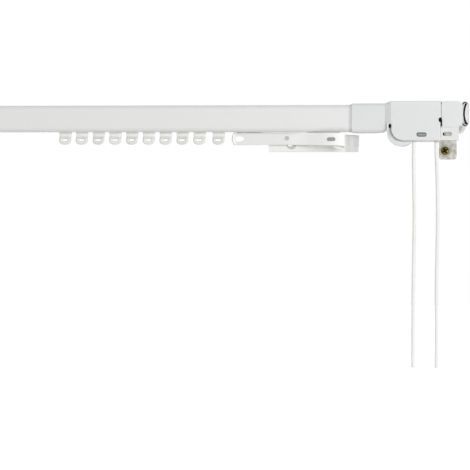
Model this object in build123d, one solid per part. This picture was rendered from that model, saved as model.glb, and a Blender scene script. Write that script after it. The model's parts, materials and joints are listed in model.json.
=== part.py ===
from build123d import *
import math
import os

# Extendable corded curtain track, in millimetres. X runs along the rod to the right, -Y faces the
# room and +Z is up. The origin is midway between the right wall plate's two screws, on the wall.

# Clearances
SLIDE_GAP = 0.3         # between pieces that slide past each other
SEAT_GAP = 0.15         # between pieces that are pushed together and stay
PIN_GAP = 0.06          # radial, a wheel on its axle

# Rod, rolled from sheet with its mouth at the back
ROD_Z = 11.0            # height of the rod's centre line
PROJECTION = 90.0       # wall to the rod's face
SHEET = 0.7
TRACK_HEIGHT = 27.2
TRACK_DEPTH = 12.0
TRACK_CORNER = 2.6
MOUTH = 14.5            # height of the opening at the back
OUTER_LENGTH = 500.0
INNER_LENGTH = 506.0
INNER_SHOWING = 130.0   # inner track seen between the outer track and the left socket

# End fittings, moulded
WALL = 1.0
SOCKET_LENGTH = 24.0
SOCKET_LEAD = 7.0       # taper under the socket's mouth
SOCKET_LEAD_RISE = 0.9
SHOULDER_LENGTH = 9.0   # where the underside starts to rise
SHOULDER_RISE = 1.0
RAMP_LENGTH = 6.0
RAMP_FOOT = 7.0         # rod centre to the ramp's underside where it meets the housing
HOUSING_INSET = 9.5     # wall screws to the housing's end wall
HOUSING_WIDTH = 49.3
HOUSING_ABOVE = 16.5    # rod centre to the top
HOUSING_BELOW = 23.1    # rod centre to the bottom
HOUSING_PROUD = 4.0     # face of the housing in front of the rod's face
HOUSING_CORNER = 12.5
HOUSING_EDGE = 1.0
BACK_PLATE = 1.2
KEYHOLE_LENGTH = 10.0
KEYHOLE_HEIGHT = 4.2
KEYHOLE_X = -28.4
KEYHOLE_BELOW = 17.1
CLIP_SHEET = 0.8
CLIP_RECESS = 0.5
END_NOTCH = 3.8         # round notch in the housing's end wall
END_NOTCH_BELOW = 2.4

# Cord wheels
CORD = 3.4
CORD_PLANE = 5.0        # rod's face to the cords' centre lines
LOWER_CORD = -2.3       # the two runs, from the rod's centre line
UPPER_CORD = 8.1
WHEEL_WIDTH = 5.5
GROOVE_GAP = 0.3
LOWER_WHEEL_PITCH = 11.3
UPPER_WHEEL_PITCH = 9.5
FLANGE_PAST_PITCH = 1.0
IDLER_X = -38.0
AXLE = 3.0
BOSS = 8.0
GUARD_GAP = 0.8
GUARD_WALL = 1.0
GUARD_TOP = 9.8         # rod centre down to the guard's upper end
EXIT_HOLE = 4.2
LEFT_EXIT_X = -35.8
RIGHT_EXIT_X = -13.4

# Corner piece and return arm
CORNER_GAP = 1.0
CORNER_WIDTH = 20.9
CORNER_HEIGHT = 26.0
CORNER_ABOVE_ROD = 3.5  # its centre line over the rod's
CORNER_ROUND = 6.0
CORNER_PROUD = 3.0
CORNER_DEPTH = 13.3
SKIRT_WIDTH = 17.7
SKIRT_LEFT = 0.7        # the skirt's left edge past the corner piece's
SKIRT_DROP = 13.0
SKIRT_SHEET = 1.2
SKIRT_SLOT_LENGTH = 8.9
SKIRT_SLOT_HEIGHT = 4.0
SKIRT_SLOT_INSET = 1.8
SKIRT_RETURN = 4.8      # depth of its right edge, turned back
ARM_DEPTH = 8.0
ARM_HEIGHT = 26.0
ARM_ABOVE_ROD = 4.8
ARM_BACK = 6.0          # wall to the arm's rear end
PLUG_LENGTH = 16.0      # corner piece's plug in the arm's front end
PLUG_WIDTH = 4.7
PLUG_HEIGHT = 22.0
PLUG_BRIDGE = 8.7
RIVET = 3.0
RIVET_HEAD = 0.7

# Wall bracket
PLATE_SHEET = 1.5
PLATE_LEFT = 6.4        # screws to the plate's edges
PLATE_RIGHT = 12.1
PLATE_HEIGHT = 48.6
PLATE_CORNER = 3.0
SCREW_SPACING = 30.0
SCREW_HOLE = 5.0
SCREW_SHANK = 4.2
SCREW_HEAD = 8.3
SCREW_LENGTH = 24.0
SCREW_DOME = 1.3
SCREW_POINT = 0.4
SCREW_TAPER = 5.0
CROSS_LENGTH = 5.2
CROSS_WIDTH = 1.1
CROSS_DEPTH = 1.5
CROSS_TURN = 30.0
COIN = 12.0             # shallow round recess pressed round each screw
COIN_DEPTH = 0.5
TONGUE_LEFT = 12.3
TONGUE_HEIGHT = 15.0
TONGUE_LENGTH = 57.0
TONGUE_HEEL = 2.5
LOCK_SCREW = 4.0
LOCK_HEAD = 6.5
LOCK_HEAD_HEIGHT = 1.8
LOCK_Y = 20.0           # wall to the lock screw at rest
LOCK_COLLAR = 1.4
PULL_IN = 4.0
PULL_OUT = 31.0

# Gliders
GLIDERS = 10
GLIDER_WIDTH = 12.0
GLIDER_HEAD = 1.8
GLIDER_PLATE = 1.6
GLIDER_WEB_WIDTH = 8.0
HEAD_LAP = 1.3          # past the mouth's edges, above and below
GLIDER_LAST_X = -233.5
GLIDER_LAST_GAP = 19.7
GLIDER_PITCH = 17.5
EYE_BELOW = 22.0
EYE_WIDTH = 13.0
EYE_HEIGHT = 9.6
EYE_HOLE_BELOW = 21.2
EYE_HOLE_LENGTH = 6.2
EYE_HOLE_HEIGHT = 2.8
EYE_PROUD = 1.2

# Overlap master
MASTER_LEFT = -219.7
MASTER_TOP = 13.9       # rod centre down to the strip's edges
MASTER_BOTTOM = 26.3
MASTER_SLIDER = 26.0
SLIDER_FROM_LEFT = 4.5
MASTER_EYE_X = -214.2
MASTER_EYE = 6.4        # teardrop, round at the left and drawn out to the right
MASTER_EYE_TIP = 2.4
MASTER_EYE_REACH = 5.2
RIM = 1.0
RIM_REACH = 7.0
CORD_BLOCK_LENGTH = 18.0
CORD_BLOCK_HEIGHT = 8.4
STOP = 6.0              # moulded beads that hold the draw cord
STOP_LENGTH = 5.0
STOP_BORE = 4.1
ARM_STRIP = 1.2
STRIP_TIP_X = -104.8
STRIP_KNEE_X = -154.0
STRIP_STEP = 24.0
STRIP_BOW = 18.0        # how far the strip steps forward
STRIP_DROP = 1.9        # how far it falls on its way
STRIP_BEND = 9.0
CURL = 3.4
CURL_LEG = 8.0
CURL_DROP = 2.4
STRIP_SLOT_X = -118.5
STRIP_SLOT_LENGTH = 8.5
STRIP_SLOT_HEIGHT = 4.0
MASTER_RIVET_X = -163.4
MASTER_RIVET_BELOW = 19.4

# Underlap master
UNDER_LEFT = -182.5
UNDER_FLAT = 85.0
UNDER_TOP = 15.6
UNDER_HEIGHT = 17.3
UNDER_SHEET = 1.2
UNDER_TURN = 50.0
UNDER_TURN_RADIUS = 6.0
UNDER_TURN_LENGTH = 4.0
UNDER_LIP = 3.0
UNDER_SLIDER_LEFT = -143.0
UNDER_SLIDER = 33.0
UNDER_LUG_BOTTOM = 27.0
UNDER_EYE_X = -159.5
UNDER_EYE_BELOW = 25.2
UNDER_EYE = 8.2
UNDER_EYE_BEVEL = 0.5
UNDER_BAND = 5.2        # lower edge that stays straight to the end
UNDER_BAND_GAP = 0.4
UNDER_DIMPLE_X = -170.0
UNDER_DIMPLE_BELOW = 26.4
UNDER_DIMPLE = 2.2
UNDER_DIMPLE_DEPTH = 0.8

# Hanging cords: corners measured from where each leaves the housing, X and Z
LEFT_TAIL = [(0.0, 0.0), (0.0, -14.0), (0.4, -38.0), (1.4, -78.0), (0.7, -128.0),
             (0.5, -178.0), (0.8, -226.7)]
RIGHT_TAIL = [(0.0, 0.0), (0.0, -10.0), (1.1, -30.0), (2.0, -68.0), (1.7, -108.0),
              (1.0, -150.0), (1.7, -198.0), (1.4, -226.7)]

# Places worked out from the sizes above
FACE_Y = -PROJECTION
BACK_Y = FACE_Y + TRACK_DEPTH
MID_Y = FACE_Y + TRACK_DEPTH / 2
CORD_Y = FACE_Y + CORD_PLANE
NEST = SHEET + SLIDE_GAP
INNER_HEIGHT = TRACK_HEIGHT - 2 * NEST
INNER_DEPTH = TRACK_DEPTH - 2 * NEST
INNER_CORNER = TRACK_CORNER - NEST
LIP_Y = BACK_Y - NEST - SHEET
HOUSING_RIGHT = -HOUSING_INSET
HOUSING_LEFT = HOUSING_RIGHT - HOUSING_WIDTH
RAMP_LEFT = HOUSING_LEFT - RAMP_LENGTH
SHOULDER_LEFT = RAMP_LEFT - SHOULDER_LENGTH
SOCKET_LEFT = SHOULDER_LEFT - SOCKET_LENGTH
HOUSING_FACE = FACE_Y - HOUSING_PROUD
COVER_BACK = BACK_Y + SEAT_GAP + WALL
PLATE_BACK = COVER_BACK + BACK_PLATE
HOUSING_TOP_Z = ROD_Z + HOUSING_ABOVE
HOUSING_BOTTOM_Z = ROD_Z - HOUSING_BELOW
OUTER_RIGHT = SHOULDER_LEFT - WALL
OUTER_LEFT = OUTER_RIGHT - OUTER_LENGTH
LEFT_ORIGIN = OUTER_LEFT - INNER_SHOWING + SOCKET_LEFT
INNER_LEFT = LEFT_ORIGIN - OUTER_RIGHT
INNER_RIGHT = INNER_LEFT + INNER_LENGTH
LOWER_RUN_Z = ROD_Z + LOWER_CORD
UPPER_RUN_Z = ROD_Z + UPPER_CORD
LOWER_WHEEL_X = LEFT_EXIT_X - LOWER_WHEEL_PITCH
UPPER_WHEEL_X = RIGHT_EXIT_X - UPPER_WHEEL_PITCH
LOWER_WHEEL_Z = LOWER_RUN_Z - LOWER_WHEEL_PITCH
UPPER_WHEEL_Z = UPPER_RUN_Z - UPPER_WHEEL_PITCH
LOWER_FLANGE = LOWER_WHEEL_PITCH + FLANGE_PAST_PITCH
UPPER_FLANGE = UPPER_WHEEL_PITCH + FLANGE_PAST_PITCH
IDLER_PITCH = (UPPER_CORD - LOWER_CORD) / 2
IDLER_FLANGE = IDLER_PITCH + 1.6 * FLANGE_PAST_PITCH
IDLER_Z = (UPPER_RUN_Z + LOWER_RUN_Z) / 2
IDLER_CENTRE_X = LEFT_ORIGIN - IDLER_X
WHEEL_FRONT = CORD_Y - WHEEL_WIDTH / 2
WHEEL_BACK = CORD_Y + WHEEL_WIDTH / 2
GUARD_INNER = LOWER_FLANGE + GUARD_GAP
GUARD_OUTER = GUARD_INNER + GUARD_WALL
CORNER_LEFT = HOUSING_RIGHT + CORNER_GAP
CORNER_RIGHT = CORNER_LEFT + CORNER_WIDTH
CORNER_Z = ROD_Z + CORNER_ABOVE_ROD
CORNER_FACE = FACE_Y - CORNER_PROUD
CORNER_BACK = CORNER_FACE + CORNER_DEPTH
ARM_Z = ROD_Z + ARM_ABOVE_ROD
ARM_LEFT = TONGUE_LEFT - SLIDE_GAP - SHEET
ARM_RIGHT = ARM_LEFT + ARM_DEPTH
ARM_FRONT = CORNER_BACK + SLIDE_GAP
HEAD_BACK = LIP_Y - SLIDE_GAP
HEAD_FRONT = HEAD_BACK - GLIDER_HEAD
HANGER_FRONT = BACK_Y + SLIDE_GAP
HANGER_BACK = HANGER_FRONT + GLIDER_PLATE
UNDER_FRONT = HANGER_BACK + RIVET_HEAD + 0.5
PLUG_RIGHT = ARM_RIGHT - SHEET - SLIDE_GAP
SCREW_RIM = PLATE_SHEET - COIN_DEPTH / 2
RUN_RIGHT = OUTER_RIGHT
RUN_LEFT = LEFT_ORIGIN - OUTER_RIGHT


def brick(x0, x1, y0, y1, z0, z1):
    """A block between two corners."""
    return Pos((x0 + x1) / 2, (y0 + y1) / 2, (z0 + z1) / 2) * Box(x1 - x0, y1 - y0, z1 - z0)


def slab(outline, front, back):
    """A flat piece: an outline drawn in X and Z, from one depth to another."""
    return extrude(Plane.XZ.offset(-back) * outline, amount=back - front)


def beam(section, left, right):
    """A straight run of a section drawn in Y and Z."""
    return extrude(Plane.YZ.offset(left) * section, amount=right - left)


def rod_along_y(x, z, radius, front, back):
    """A round bar through the fitting."""
    return slab(Pos(x, z) * Circle(radius), front, back)


def mirrored(shape):
    """The same piece at the rod's other end."""
    return Pos(LEFT_ORIGIN, 0, 0) * mirror(shape, about=Plane.YZ)


def track(height, depth, corner, left, right):
    """A C section rolled from sheet, open at the back: its face and its two edge rolls."""
    outline = RectangleRounded(depth, height, corner)
    hollow = RectangleRounded(depth - 2 * SHEET, height - 2 * SHEET, corner - SHEET)
    mouth = Pos(depth / 2, 0) * Rectangle(4 * SHEET, MOUTH)
    form = beam(Pos(MID_Y, ROD_Z) * (outline - hollow - mouth), left, right)
    reach = height / 2 - corner
    strips = {}
    for name, low, high in (("face", -reach, reach), ("top_roll", reach, height),
                            ("foot_roll", -height, -reach)):
        strips[name] = form & brick(left, right, FACE_Y, MID_Y, ROD_Z + low, ROD_Z + high)
    for name, low, high in (("top_roll", 0, height), ("foot_roll", -height, 0)):
        strips[name] += form & brick(left, right, MID_Y, BACK_Y, ROD_Z + low, ROD_Z + high)
    return strips


def outer_track():
    """Front half of the rod, pushed into the right fitting."""
    return track(TRACK_HEIGHT, TRACK_DEPTH, TRACK_CORNER, OUTER_LEFT, OUTER_RIGHT)


def inner_track():
    """Back half of the rod, which slides inside the outer one."""
    return track(INNER_HEIGHT, INNER_DEPTH, INNER_CORNER, INNER_LEFT, INNER_RIGHT)


def station(x, front, back, low, high, radius):
    """A rounded rectangle across the rod at x."""
    shape = RectangleRounded(back - front, high - low, radius)
    return Plane.YZ.offset(x) * (Pos((front + back) / 2, (low + high) / 2) * shape)


def fitting_stations(height, depth, corner, inset):
    """Sections of the fitting from its socket's mouth to the housing, drawn in by inset."""
    half = height / 2 + SEAT_GAP + WALL - inset
    front = MID_Y - depth / 2 - SEAT_GAP - WALL + inset
    back = MID_Y + depth / 2 + SEAT_GAP + WALL - inset
    low, high = ROD_Z - half, ROD_Z + half
    round_off = corner + SEAT_GAP + WALL - inset
    edge = max(HOUSING_EDGE + 0.2 - inset, 0.2)
    return [
        station(SOCKET_LEFT, front, back, low, high, round_off),
        station(SHOULDER_LEFT, front, back, low, high, round_off),
        station(RAMP_LEFT, front, back, low + SHOULDER_RISE, high, round_off),
        station(HOUSING_LEFT, HOUSING_FACE + inset, COVER_BACK - inset, ROD_Z - RAMP_FOOT + inset,
                HOUSING_TOP_Z - inset, edge),
    ]


def fitting_skin(height, depth, corner, inset, overrun):
    """The solid form from the socket's mouth to the housing, run on into the housing."""
    sections = fitting_stations(height, depth, corner, inset)
    form = extrude(sections[0], amount=SOCKET_LENGTH, dir=(1, 0, 0))
    for first, second in zip(sections[1:], sections[2:]):
        form += loft([first, second], ruled=True)
    return form + extrude(sections[-1], amount=overrun, dir=(1, 0, 0))


def housing_outline(inset):
    """The housing seen from the front, with its lower inner corner well rounded."""
    width, height = HOUSING_WIDTH - 2 * inset, HOUSING_ABOVE + HOUSING_BELOW - 2 * inset
    centre = Pos(HOUSING_LEFT + HOUSING_WIDTH / 2, (HOUSING_TOP_Z + HOUSING_BOTTOM_Z) / 2)
    outline = centre * Rectangle(width, height)
    corner = outline.vertices().sort_by(lambda v: v.X + v.Y)[0]
    return fillet(corner, HOUSING_CORNER - inset)


def housing_block():
    """The housing's outer form with its front edges eased, all but the one at the ramp."""
    block = slab(housing_outline(0), HOUSING_FACE, COVER_BACK)
    front = block.faces().sort_by(Axis.Y)[0].edges()
    return fillet(front, HOUSING_EDGE)


def housing_cover(height, depth, corner, corded):
    """Socket, ramp and front shell in one piece; the corded one has wheels and cord exits."""
    body = housing_block() + fitting_skin(height, depth, corner, 0, HOUSING_EDGE + 0.5)
    body -= slab(housing_outline(WALL), HOUSING_FACE + WALL, COVER_BACK + 1)
    body -= fitting_skin(height, depth, corner, WALL, WALL + 0.5)
    body -= brick(SOCKET_LEFT - 1, SHOULDER_LEFT, MID_Y, COVER_BACK + 1,
                  ROD_Z - MOUTH / 2, ROD_Z + MOUTH / 2)
    body -= socket_lead(ROD_Z - height / 2 - SEAT_GAP - WALL)
    body -= slab(keyhole(0), HOUSING_FACE - 1, HOUSING_FACE + WALL + 1)
    body -= spigot(SEAT_GAP)
    for x, z in wheel_centres(corded):
        body += rod_along_y(x, z, BOSS / 2, HOUSING_FACE + WALL / 2, WHEEL_FRONT - SLIDE_GAP)
        body -= rod_along_y(x, z, AXLE / 2 + PIN_GAP, HOUSING_FACE + WALL, COVER_BACK)
    if corded:
        body -= rod_along_y(LOWER_WHEEL_X, LOWER_WHEEL_Z, LOWER_FLANGE + GUARD_GAP / 2,
                            WHEEL_FRONT - SLIDE_GAP, COVER_BACK + 1)
        for x in (LEFT_EXIT_X, RIGHT_EXIT_X):
            body -= Pos(x, CORD_Y, HOUSING_BOTTOM_Z) * Cylinder(EXIT_HOLE / 2, 4 * WALL)
    return body - rod_along_y(HOUSING_RIGHT, ROD_Z - END_NOTCH_BELOW, END_NOTCH / 2, HOUSING_FACE - 1,
                              HOUSING_FACE + END_NOTCH)


def socket_lead(low):
    """Wedge taken off under the socket's mouth."""
    outline = Polygon((SOCKET_LEFT - 1, low - 1), (SOCKET_LEFT + SOCKET_LEAD, low - 1),
                      (SOCKET_LEFT + SOCKET_LEAD, low), (SOCKET_LEFT - 1, low + SOCKET_LEAD_RISE),
                      align=None)
    return slab(outline, HOUSING_FACE, COVER_BACK + 1)


def keyhole(inset):
    """The pill shaped window for the clip."""
    shape = SlotOverall(KEYHOLE_LENGTH - 2 * inset, KEYHOLE_HEIGHT - 2 * inset)
    return Pos(KEYHOLE_X, ROD_Z - KEYHOLE_BELOW) * shape


def wheel_centres(corded):
    """Axle places in a fitting, X and Z."""
    if corded:
        return [(LOWER_WHEEL_X, LOWER_WHEEL_Z), (UPPER_WHEEL_X, UPPER_WHEEL_Z)]
    return [(IDLER_X, IDLER_Z)]


def housing_back(corded):
    """Rear plate with the axle bosses, and on the corded one the guard round the lower wheel."""
    plate = slab(housing_outline(0), COVER_BACK, PLATE_BACK)
    if corded:
        plate += lower_guard()
    for x, z in wheel_centres(corded):
        plate += rod_along_y(x, z, BOSS / 2, WHEEL_BACK + SLIDE_GAP, COVER_BACK)
        plate -= rod_along_y(x, z, AXLE / 2 + PIN_GAP, WHEEL_BACK, PLATE_BACK + 1)
    return plate


def lower_guard():
    """Half round trough that covers the lower wheel where it stands out below the housing."""
    front = WHEEL_FRONT - SLIDE_GAP
    disc = Pos(LOWER_WHEEL_X, LOWER_WHEEL_Z) * Circle(GUARD_OUTER)
    bore = Pos(LOWER_WHEEL_X, LOWER_WHEEL_Z) * Circle(GUARD_INNER)
    shell = slab(disc, front - GUARD_WALL, COVER_BACK) - slab(bore, front, COVER_BACK)
    rim = shell.faces().sort_by(Axis.Y)[0].edges()
    shell = chamfer(rim, GUARD_WALL / 2)
    shell -= slab(housing_outline(-SLIDE_GAP), HOUSING_FACE, COVER_BACK)
    floor = slab(disc, COVER_BACK, PLATE_BACK)
    right = LEFT_EXIT_X - EXIT_HOLE / 2 - SLIDE_GAP
    keep = brick(LOWER_WHEEL_X - GUARD_OUTER, right, HOUSING_FACE, PLATE_BACK,
                 LOWER_WHEEL_Z - GUARD_OUTER, ROD_Z - GUARD_TOP)
    return (shell & keep) + (floor & keep)


def cord_wheel(x, z, pitch, flange):
    """A wheel on the fitting's axle, with an eight-sided trough for the cord."""
    wheel = rod_along_y(x, z, flange, WHEEL_FRONT, WHEEL_BACK)
    half = CORD / 2 + GROOVE_GAP
    flat = half * math.tan(math.radians(22.5))
    out = flange + 1
    trough = Polygon((pitch - half, flat), (pitch - half, -flat), (pitch - flat, -half), (out, -half),
                     (out, half), (pitch - flat, half), align=None)
    wheel -= Pos(x, CORD_Y, z) * revolve(Plane.XY * trough, axis=Axis.Y)
    return wheel - rod_along_y(x, z, AXLE / 2 + PIN_GAP, WHEEL_FRONT, WHEEL_BACK)


def axle(x, z):
    """A headed pin through the rear plate into the front boss."""
    head_back = PLATE_BACK + RIVET_HEAD
    pin = rod_along_y(x, z, AXLE / 2, HOUSING_FACE + WALL + SLIDE_GAP, PLATE_BACK)
    return pin + rod_along_y(x, z, AXLE, PLATE_BACK, head_back)


def cover_clip():
    """Spring clip that shows in the window and holds the shells together."""
    face = HOUSING_FACE + CLIP_RECESS
    shown = slab(keyhole(SLIDE_GAP), face, face + CLIP_SHEET)
    half = KEYHOLE_LENGTH / 2 - KEYHOLE_HEIGHT / 2
    mid = ROD_Z - KEYHOLE_BELOW
    leg = brick(KEYHOLE_X - half, KEYHOLE_X + half, face, COVER_BACK,
                mid - CLIP_SHEET / 2, mid + CLIP_SHEET / 2)
    return shown + leg


def corner_outline(inset):
    """The corner piece from the front, its free end round at top and bottom."""
    width, height = CORNER_WIDTH - 2 * inset, CORNER_HEIGHT - 2 * inset
    outline = Pos(CORNER_LEFT + CORNER_WIDTH / 2, CORNER_Z) * Rectangle(width, height)
    free_end = outline.vertices().group_by(Axis.X)[-1]
    return fillet(free_end, CORNER_ROUND - inset)


def spigot(grow):
    """Flat tongue by which the corner piece plugs into the housing."""
    front = HOUSING_FACE + 2.2 * WALL
    left = UPPER_WHEEL_X + BOSS / 2 + 2 * SLIDE_GAP
    return brick(left - grow, CORNER_LEFT + WALL / 2, front - grow, front + 1.5 * WALL + grow,
                 ROD_Z - 0.5 - grow, ROD_Z + HOUSING_ABOVE - 3 * WALL + grow)


def corner_piece():
    """Front band, spigot, hook skirt and the tongue that holds the return arm."""
    tray = slab(corner_outline(0), CORNER_FACE, CORNER_BACK)
    tray -= slab(corner_outline(WALL), CORNER_FACE + WALL, CORNER_BACK + 1)
    lip = brick(HOUSING_RIGHT + SEAT_GAP, CORNER_LEFT + WALL, CORNER_BACK - WALL, CORNER_BACK,
                CORNER_Z - CORNER_HEIGHT / 2, CORNER_Z + CORNER_HEIGHT / 2)
    return tray + lip + hook_skirt(CORNER_Z - CORNER_HEIGHT / 2) + arm_plug() + spigot(0)


def hook_skirt(top):
    """Plate below the band with the slot for the curtain's end hook."""
    left = CORNER_LEFT - SKIRT_LEFT
    right = left + SKIRT_WIDTH
    front = CORNER_FACE + WALL
    skirt = brick(left, right, front, front + SKIRT_SHEET, top - SKIRT_DROP, top + WALL)
    skirt += brick(right - SKIRT_SHEET, right, front, front + SKIRT_RETURN, top - SKIRT_DROP, top + WALL)
    slot_x = left + SKIRT_SLOT_INSET + SKIRT_SLOT_LENGTH / 2
    slot = Pos(slot_x, top - 0.53 * SKIRT_DROP) * SlotOverall(SKIRT_SLOT_LENGTH, SKIRT_SLOT_HEIGHT)
    return skirt - slab(slot, front - 1, front + SKIRT_SHEET + 1)


def plug_outline(inset):
    """The plug's flat oval, seen from the front."""
    width, height = PLUG_WIDTH - 2 * inset, PLUG_HEIGHT - 2 * inset
    return Pos(PLUG_RIGHT - PLUG_WIDTH / 2, ARM_Z) * RectangleRounded(width, height, width * 0.49)


def arm_plug():
    """Hollow plug in the return arm's front end, bridged to the corner piece's end wall."""
    front = CORNER_BACK - WALL
    plug = slab(plug_outline(0), front, CORNER_BACK + PLUG_LENGTH)
    plug -= slab(plug_outline(WALL), CORNER_BACK, CORNER_BACK + PLUG_LENGTH + 1)
    bridge = brick(CORNER_RIGHT - WALL, PLUG_RIGHT - WALL, front, CORNER_BACK,
                   CORNER_Z - PLUG_BRIDGE / 2, CORNER_Z + PLUG_BRIDGE / 2)
    return plug + bridge - arm_rivet_bar(RIVET / 2 + SEAT_GAP / 2)


def arm_rivet_bar(radius):
    """Round bar through the arm's outer wall and the plug's."""
    y = CORNER_BACK + PLUG_LENGTH * 0.6
    return Pos(0, y, CORNER_Z) * beam(Circle(radius), PLUG_RIGHT - 2 * WALL, ARM_RIGHT + WALL)


def corner_rivet():
    """Rivet that joins the return arm to the corner piece."""
    inner_head = PLUG_RIGHT - WALL
    y = CORNER_BACK + PLUG_LENGTH * 0.6
    rivet = Pos(0, y, CORNER_Z) * beam(Circle(RIVET / 2), inner_head, ARM_RIGHT)
    for x in (inner_head - RIVET_HEAD, ARM_RIGHT):
        rivet += Pos(0, y, CORNER_Z) * beam(Circle(0.72 * RIVET), x, x + RIVET_HEAD)
    return rivet


def return_arm():
    """Flat oval C section back to the wall, its mouth towards the window."""
    corner = ARM_DEPTH / 2 - 0.05
    outline = RectangleRounded(ARM_DEPTH, ARM_HEIGHT, corner)
    outline -= RectangleRounded(ARM_DEPTH - 2 * SHEET, ARM_HEIGHT - 2 * SHEET, corner - SHEET)
    outline -= Pos(-ARM_DEPTH / 2, 0) * Rectangle(4 * SHEET, MOUTH)
    section = Pos((ARM_LEFT + ARM_RIGHT) / 2, ARM_Z) * outline
    arm = slab(section, ARM_FRONT, -ARM_BACK)
    collar_left = TONGUE_LEFT + PLATE_SHEET + SLIDE_GAP
    collar = lock_bar(LOCK_SCREW / 2 + LOCK_COLLAR, collar_left, ARM_RIGHT - SHEET / 2)
    arm = arm + collar - lock_bar(LOCK_SCREW / 2 + SEAT_GAP / 2, collar_left - 1, ARM_RIGHT + 1)
    return arm - arm_rivet_bar(RIVET / 2 + SEAT_GAP / 2)


def lock_bar(radius, left, right):
    """Round bar on the lock screw's axis."""
    return beam(Pos(-LOCK_Y, ARM_Z) * Circle(radius), left, right)


def lock_screw():
    """Screw that fixes the return arm on the bracket's tongue."""
    under_head = TONGUE_LEFT - SEAT_GAP
    screw = lock_bar(LOCK_SCREW / 2, under_head, ARM_RIGHT)
    head = lock_bar(LOCK_HEAD / 2, under_head - LOCK_HEAD_HEIGHT, under_head)
    slot = brick(under_head - 2 * LOCK_HEAD_HEIGHT, under_head - LOCK_HEAD_HEIGHT / 2,
                 -LOCK_Y - LOCK_HEAD, -LOCK_Y + LOCK_HEAD, ARM_Z - LOCK_SCREW / 8, ARM_Z + LOCK_SCREW / 8)
    return screw + head - slot


def wall_bracket():
    """Plate on the wall with its tongue bent forward into the return arm."""
    width = PLATE_LEFT + PLATE_RIGHT
    middle = Pos((PLATE_RIGHT - PLATE_LEFT) / 2, 0)
    bracket = slab(middle * RectangleRounded(width, PLATE_HEIGHT, PLATE_CORNER), -PLATE_SHEET, 0)
    for side in (-1, 1):
        z = side * SCREW_SPACING / 2
        bracket -= rod_along_y(0, z, COIN / 2, -PLATE_SHEET - 1, -PLATE_SHEET + COIN_DEPTH)
        bracket -= rod_along_y(0, z, SCREW_HOLE / 2, -PLATE_SHEET, 1)
        bracket -= screw_head_seat(z)
    return bracket + bracket_tongue()


def screw_head_seat(z):
    """Countersink for one screw, a little wider than its head all the way down."""
    under = SCREW_SHANK / 2 + SEAT_GAP
    slope = (SCREW_HEAD / 2 - under) / (SCREW_RIM - SEAT_GAP)
    wide = SCREW_HEAD / 2 + SLIDE_GAP
    cone = Cone(wide - slope * SCREW_RIM, wide, SCREW_RIM)
    return Pos(0, -SCREW_RIM / 2, z) * Rot(90, 0, 0) * cone


def bracket_tongue():
    """The bent strip: an angle in plan, rounded inside and out, with the lock screw's slot."""
    right = TONGUE_LEFT + PLATE_SHEET
    foot = right - COIN / 2 - SLIDE_GAP
    plan = Pos(right - foot / 2, -TONGUE_LENGTH / 2) * Rectangle(foot, TONGUE_LENGTH)
    plan -= Pos(TONGUE_LEFT - foot / 2, -PLATE_SHEET - TONGUE_LENGTH / 2) * Rectangle(foot, TONGUE_LENGTH)
    heel = plan.vertices().sort_by(lambda v: v.X + v.Y)[-1]
    plan = fillet(heel, TONGUE_HEEL)
    low = ARM_Z - TONGUE_HEIGHT / 2
    strip = extrude(Plane.XY.offset(low) * plan, amount=TONGUE_HEIGHT)
    slot_near = LOCK_Y - PULL_IN - LOCK_SCREW / 2 - SLIDE_GAP
    slot_far = LOCK_Y + PULL_OUT + LOCK_SCREW / 2 + SLIDE_GAP
    slot = SlotOverall(slot_far - slot_near, LOCK_SCREW + 2 * SLIDE_GAP)
    cut = beam(Pos(-(slot_near + slot_far) / 2, ARM_Z) * slot, TONGUE_LEFT - 1, right + 1)
    return strip - cut


def wall_screws():
    """Two countersunk wood screws with raised cross heads."""
    screws = [wall_screw(side * SCREW_SPACING / 2) for side in (-1, 1)]
    return Compound(children=screws)


def wall_screw(z):
    """One screw, turned about its axis, with the cross cut into its head."""
    shank, head = SCREW_SHANK / 2, SCREW_HEAD / 2
    rim_y = -SCREW_RIM
    top_y = rim_y - SCREW_DOME
    tip = SCREW_LENGTH
    profile = Polyline((0, top_y), (0, tip), (SCREW_POINT, tip), (shank, tip - SCREW_TAPER), (shank, 0),
                       (shank + SEAT_GAP, -SEAT_GAP), (head, rim_y))
    dome = ThreePointArc((head, rim_y), (head * 0.62, rim_y - 0.72 * SCREW_DOME), (0, top_y))
    screw = revolve(make_face(profile + dome), axis=Axis.Y)
    for turn in (CROSS_TURN, CROSS_TURN + 90):
        arm = Pos(0, top_y, 0) * Rot(0, turn, 0) * Box(CROSS_LENGTH, 2 * CROSS_DEPTH, CROSS_WIDTH)
        screw -= arm
    return Pos(0, 0, z) * screw


def slider_body(left, length, web_inset, bottom):
    """Head inside the rod, web through its mouth and plate behind it, down to bottom."""
    right = left + length
    high = ROD_Z + MOUTH / 2 + HEAD_LAP
    web = MOUTH / 2 - SLIDE_GAP
    head = brick(left, right, HEAD_FRONT, HEAD_BACK, 2 * ROD_Z - high, high)
    neck = brick(left + web_inset, right - web_inset, HEAD_BACK, HANGER_FRONT,
                 ROD_Z - web, ROD_Z + web)
    plate = brick(left, right, HANGER_FRONT, HANGER_BACK, ROD_Z - bottom, high)
    return head + neck + plate


def glider(x):
    """One glider: slider, hanging tab and the thick eye for the curtain hook."""
    left = x - GLIDER_WIDTH / 2
    web_inset = (GLIDER_WIDTH - GLIDER_WEB_WIDTH) / 2
    body = slider_body(left, GLIDER_WIDTH, web_inset, EYE_BELOW)
    eye = Pos(x, ROD_Z - EYE_BELOW) * RectangleRounded(EYE_WIDTH, EYE_HEIGHT, 0.48 * EYE_HEIGHT)
    body += slab(eye, HANGER_FRONT - EYE_PROUD, HANGER_BACK + EYE_PROUD / 2)
    hole = Pos(x, ROD_Z - EYE_HOLE_BELOW) * SlotOverall(EYE_HOLE_LENGTH, EYE_HOLE_HEIGHT)
    return body - slab(hole, HANGER_FRONT - 2 * EYE_PROUD, HANGER_BACK + EYE_PROUD)


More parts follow.
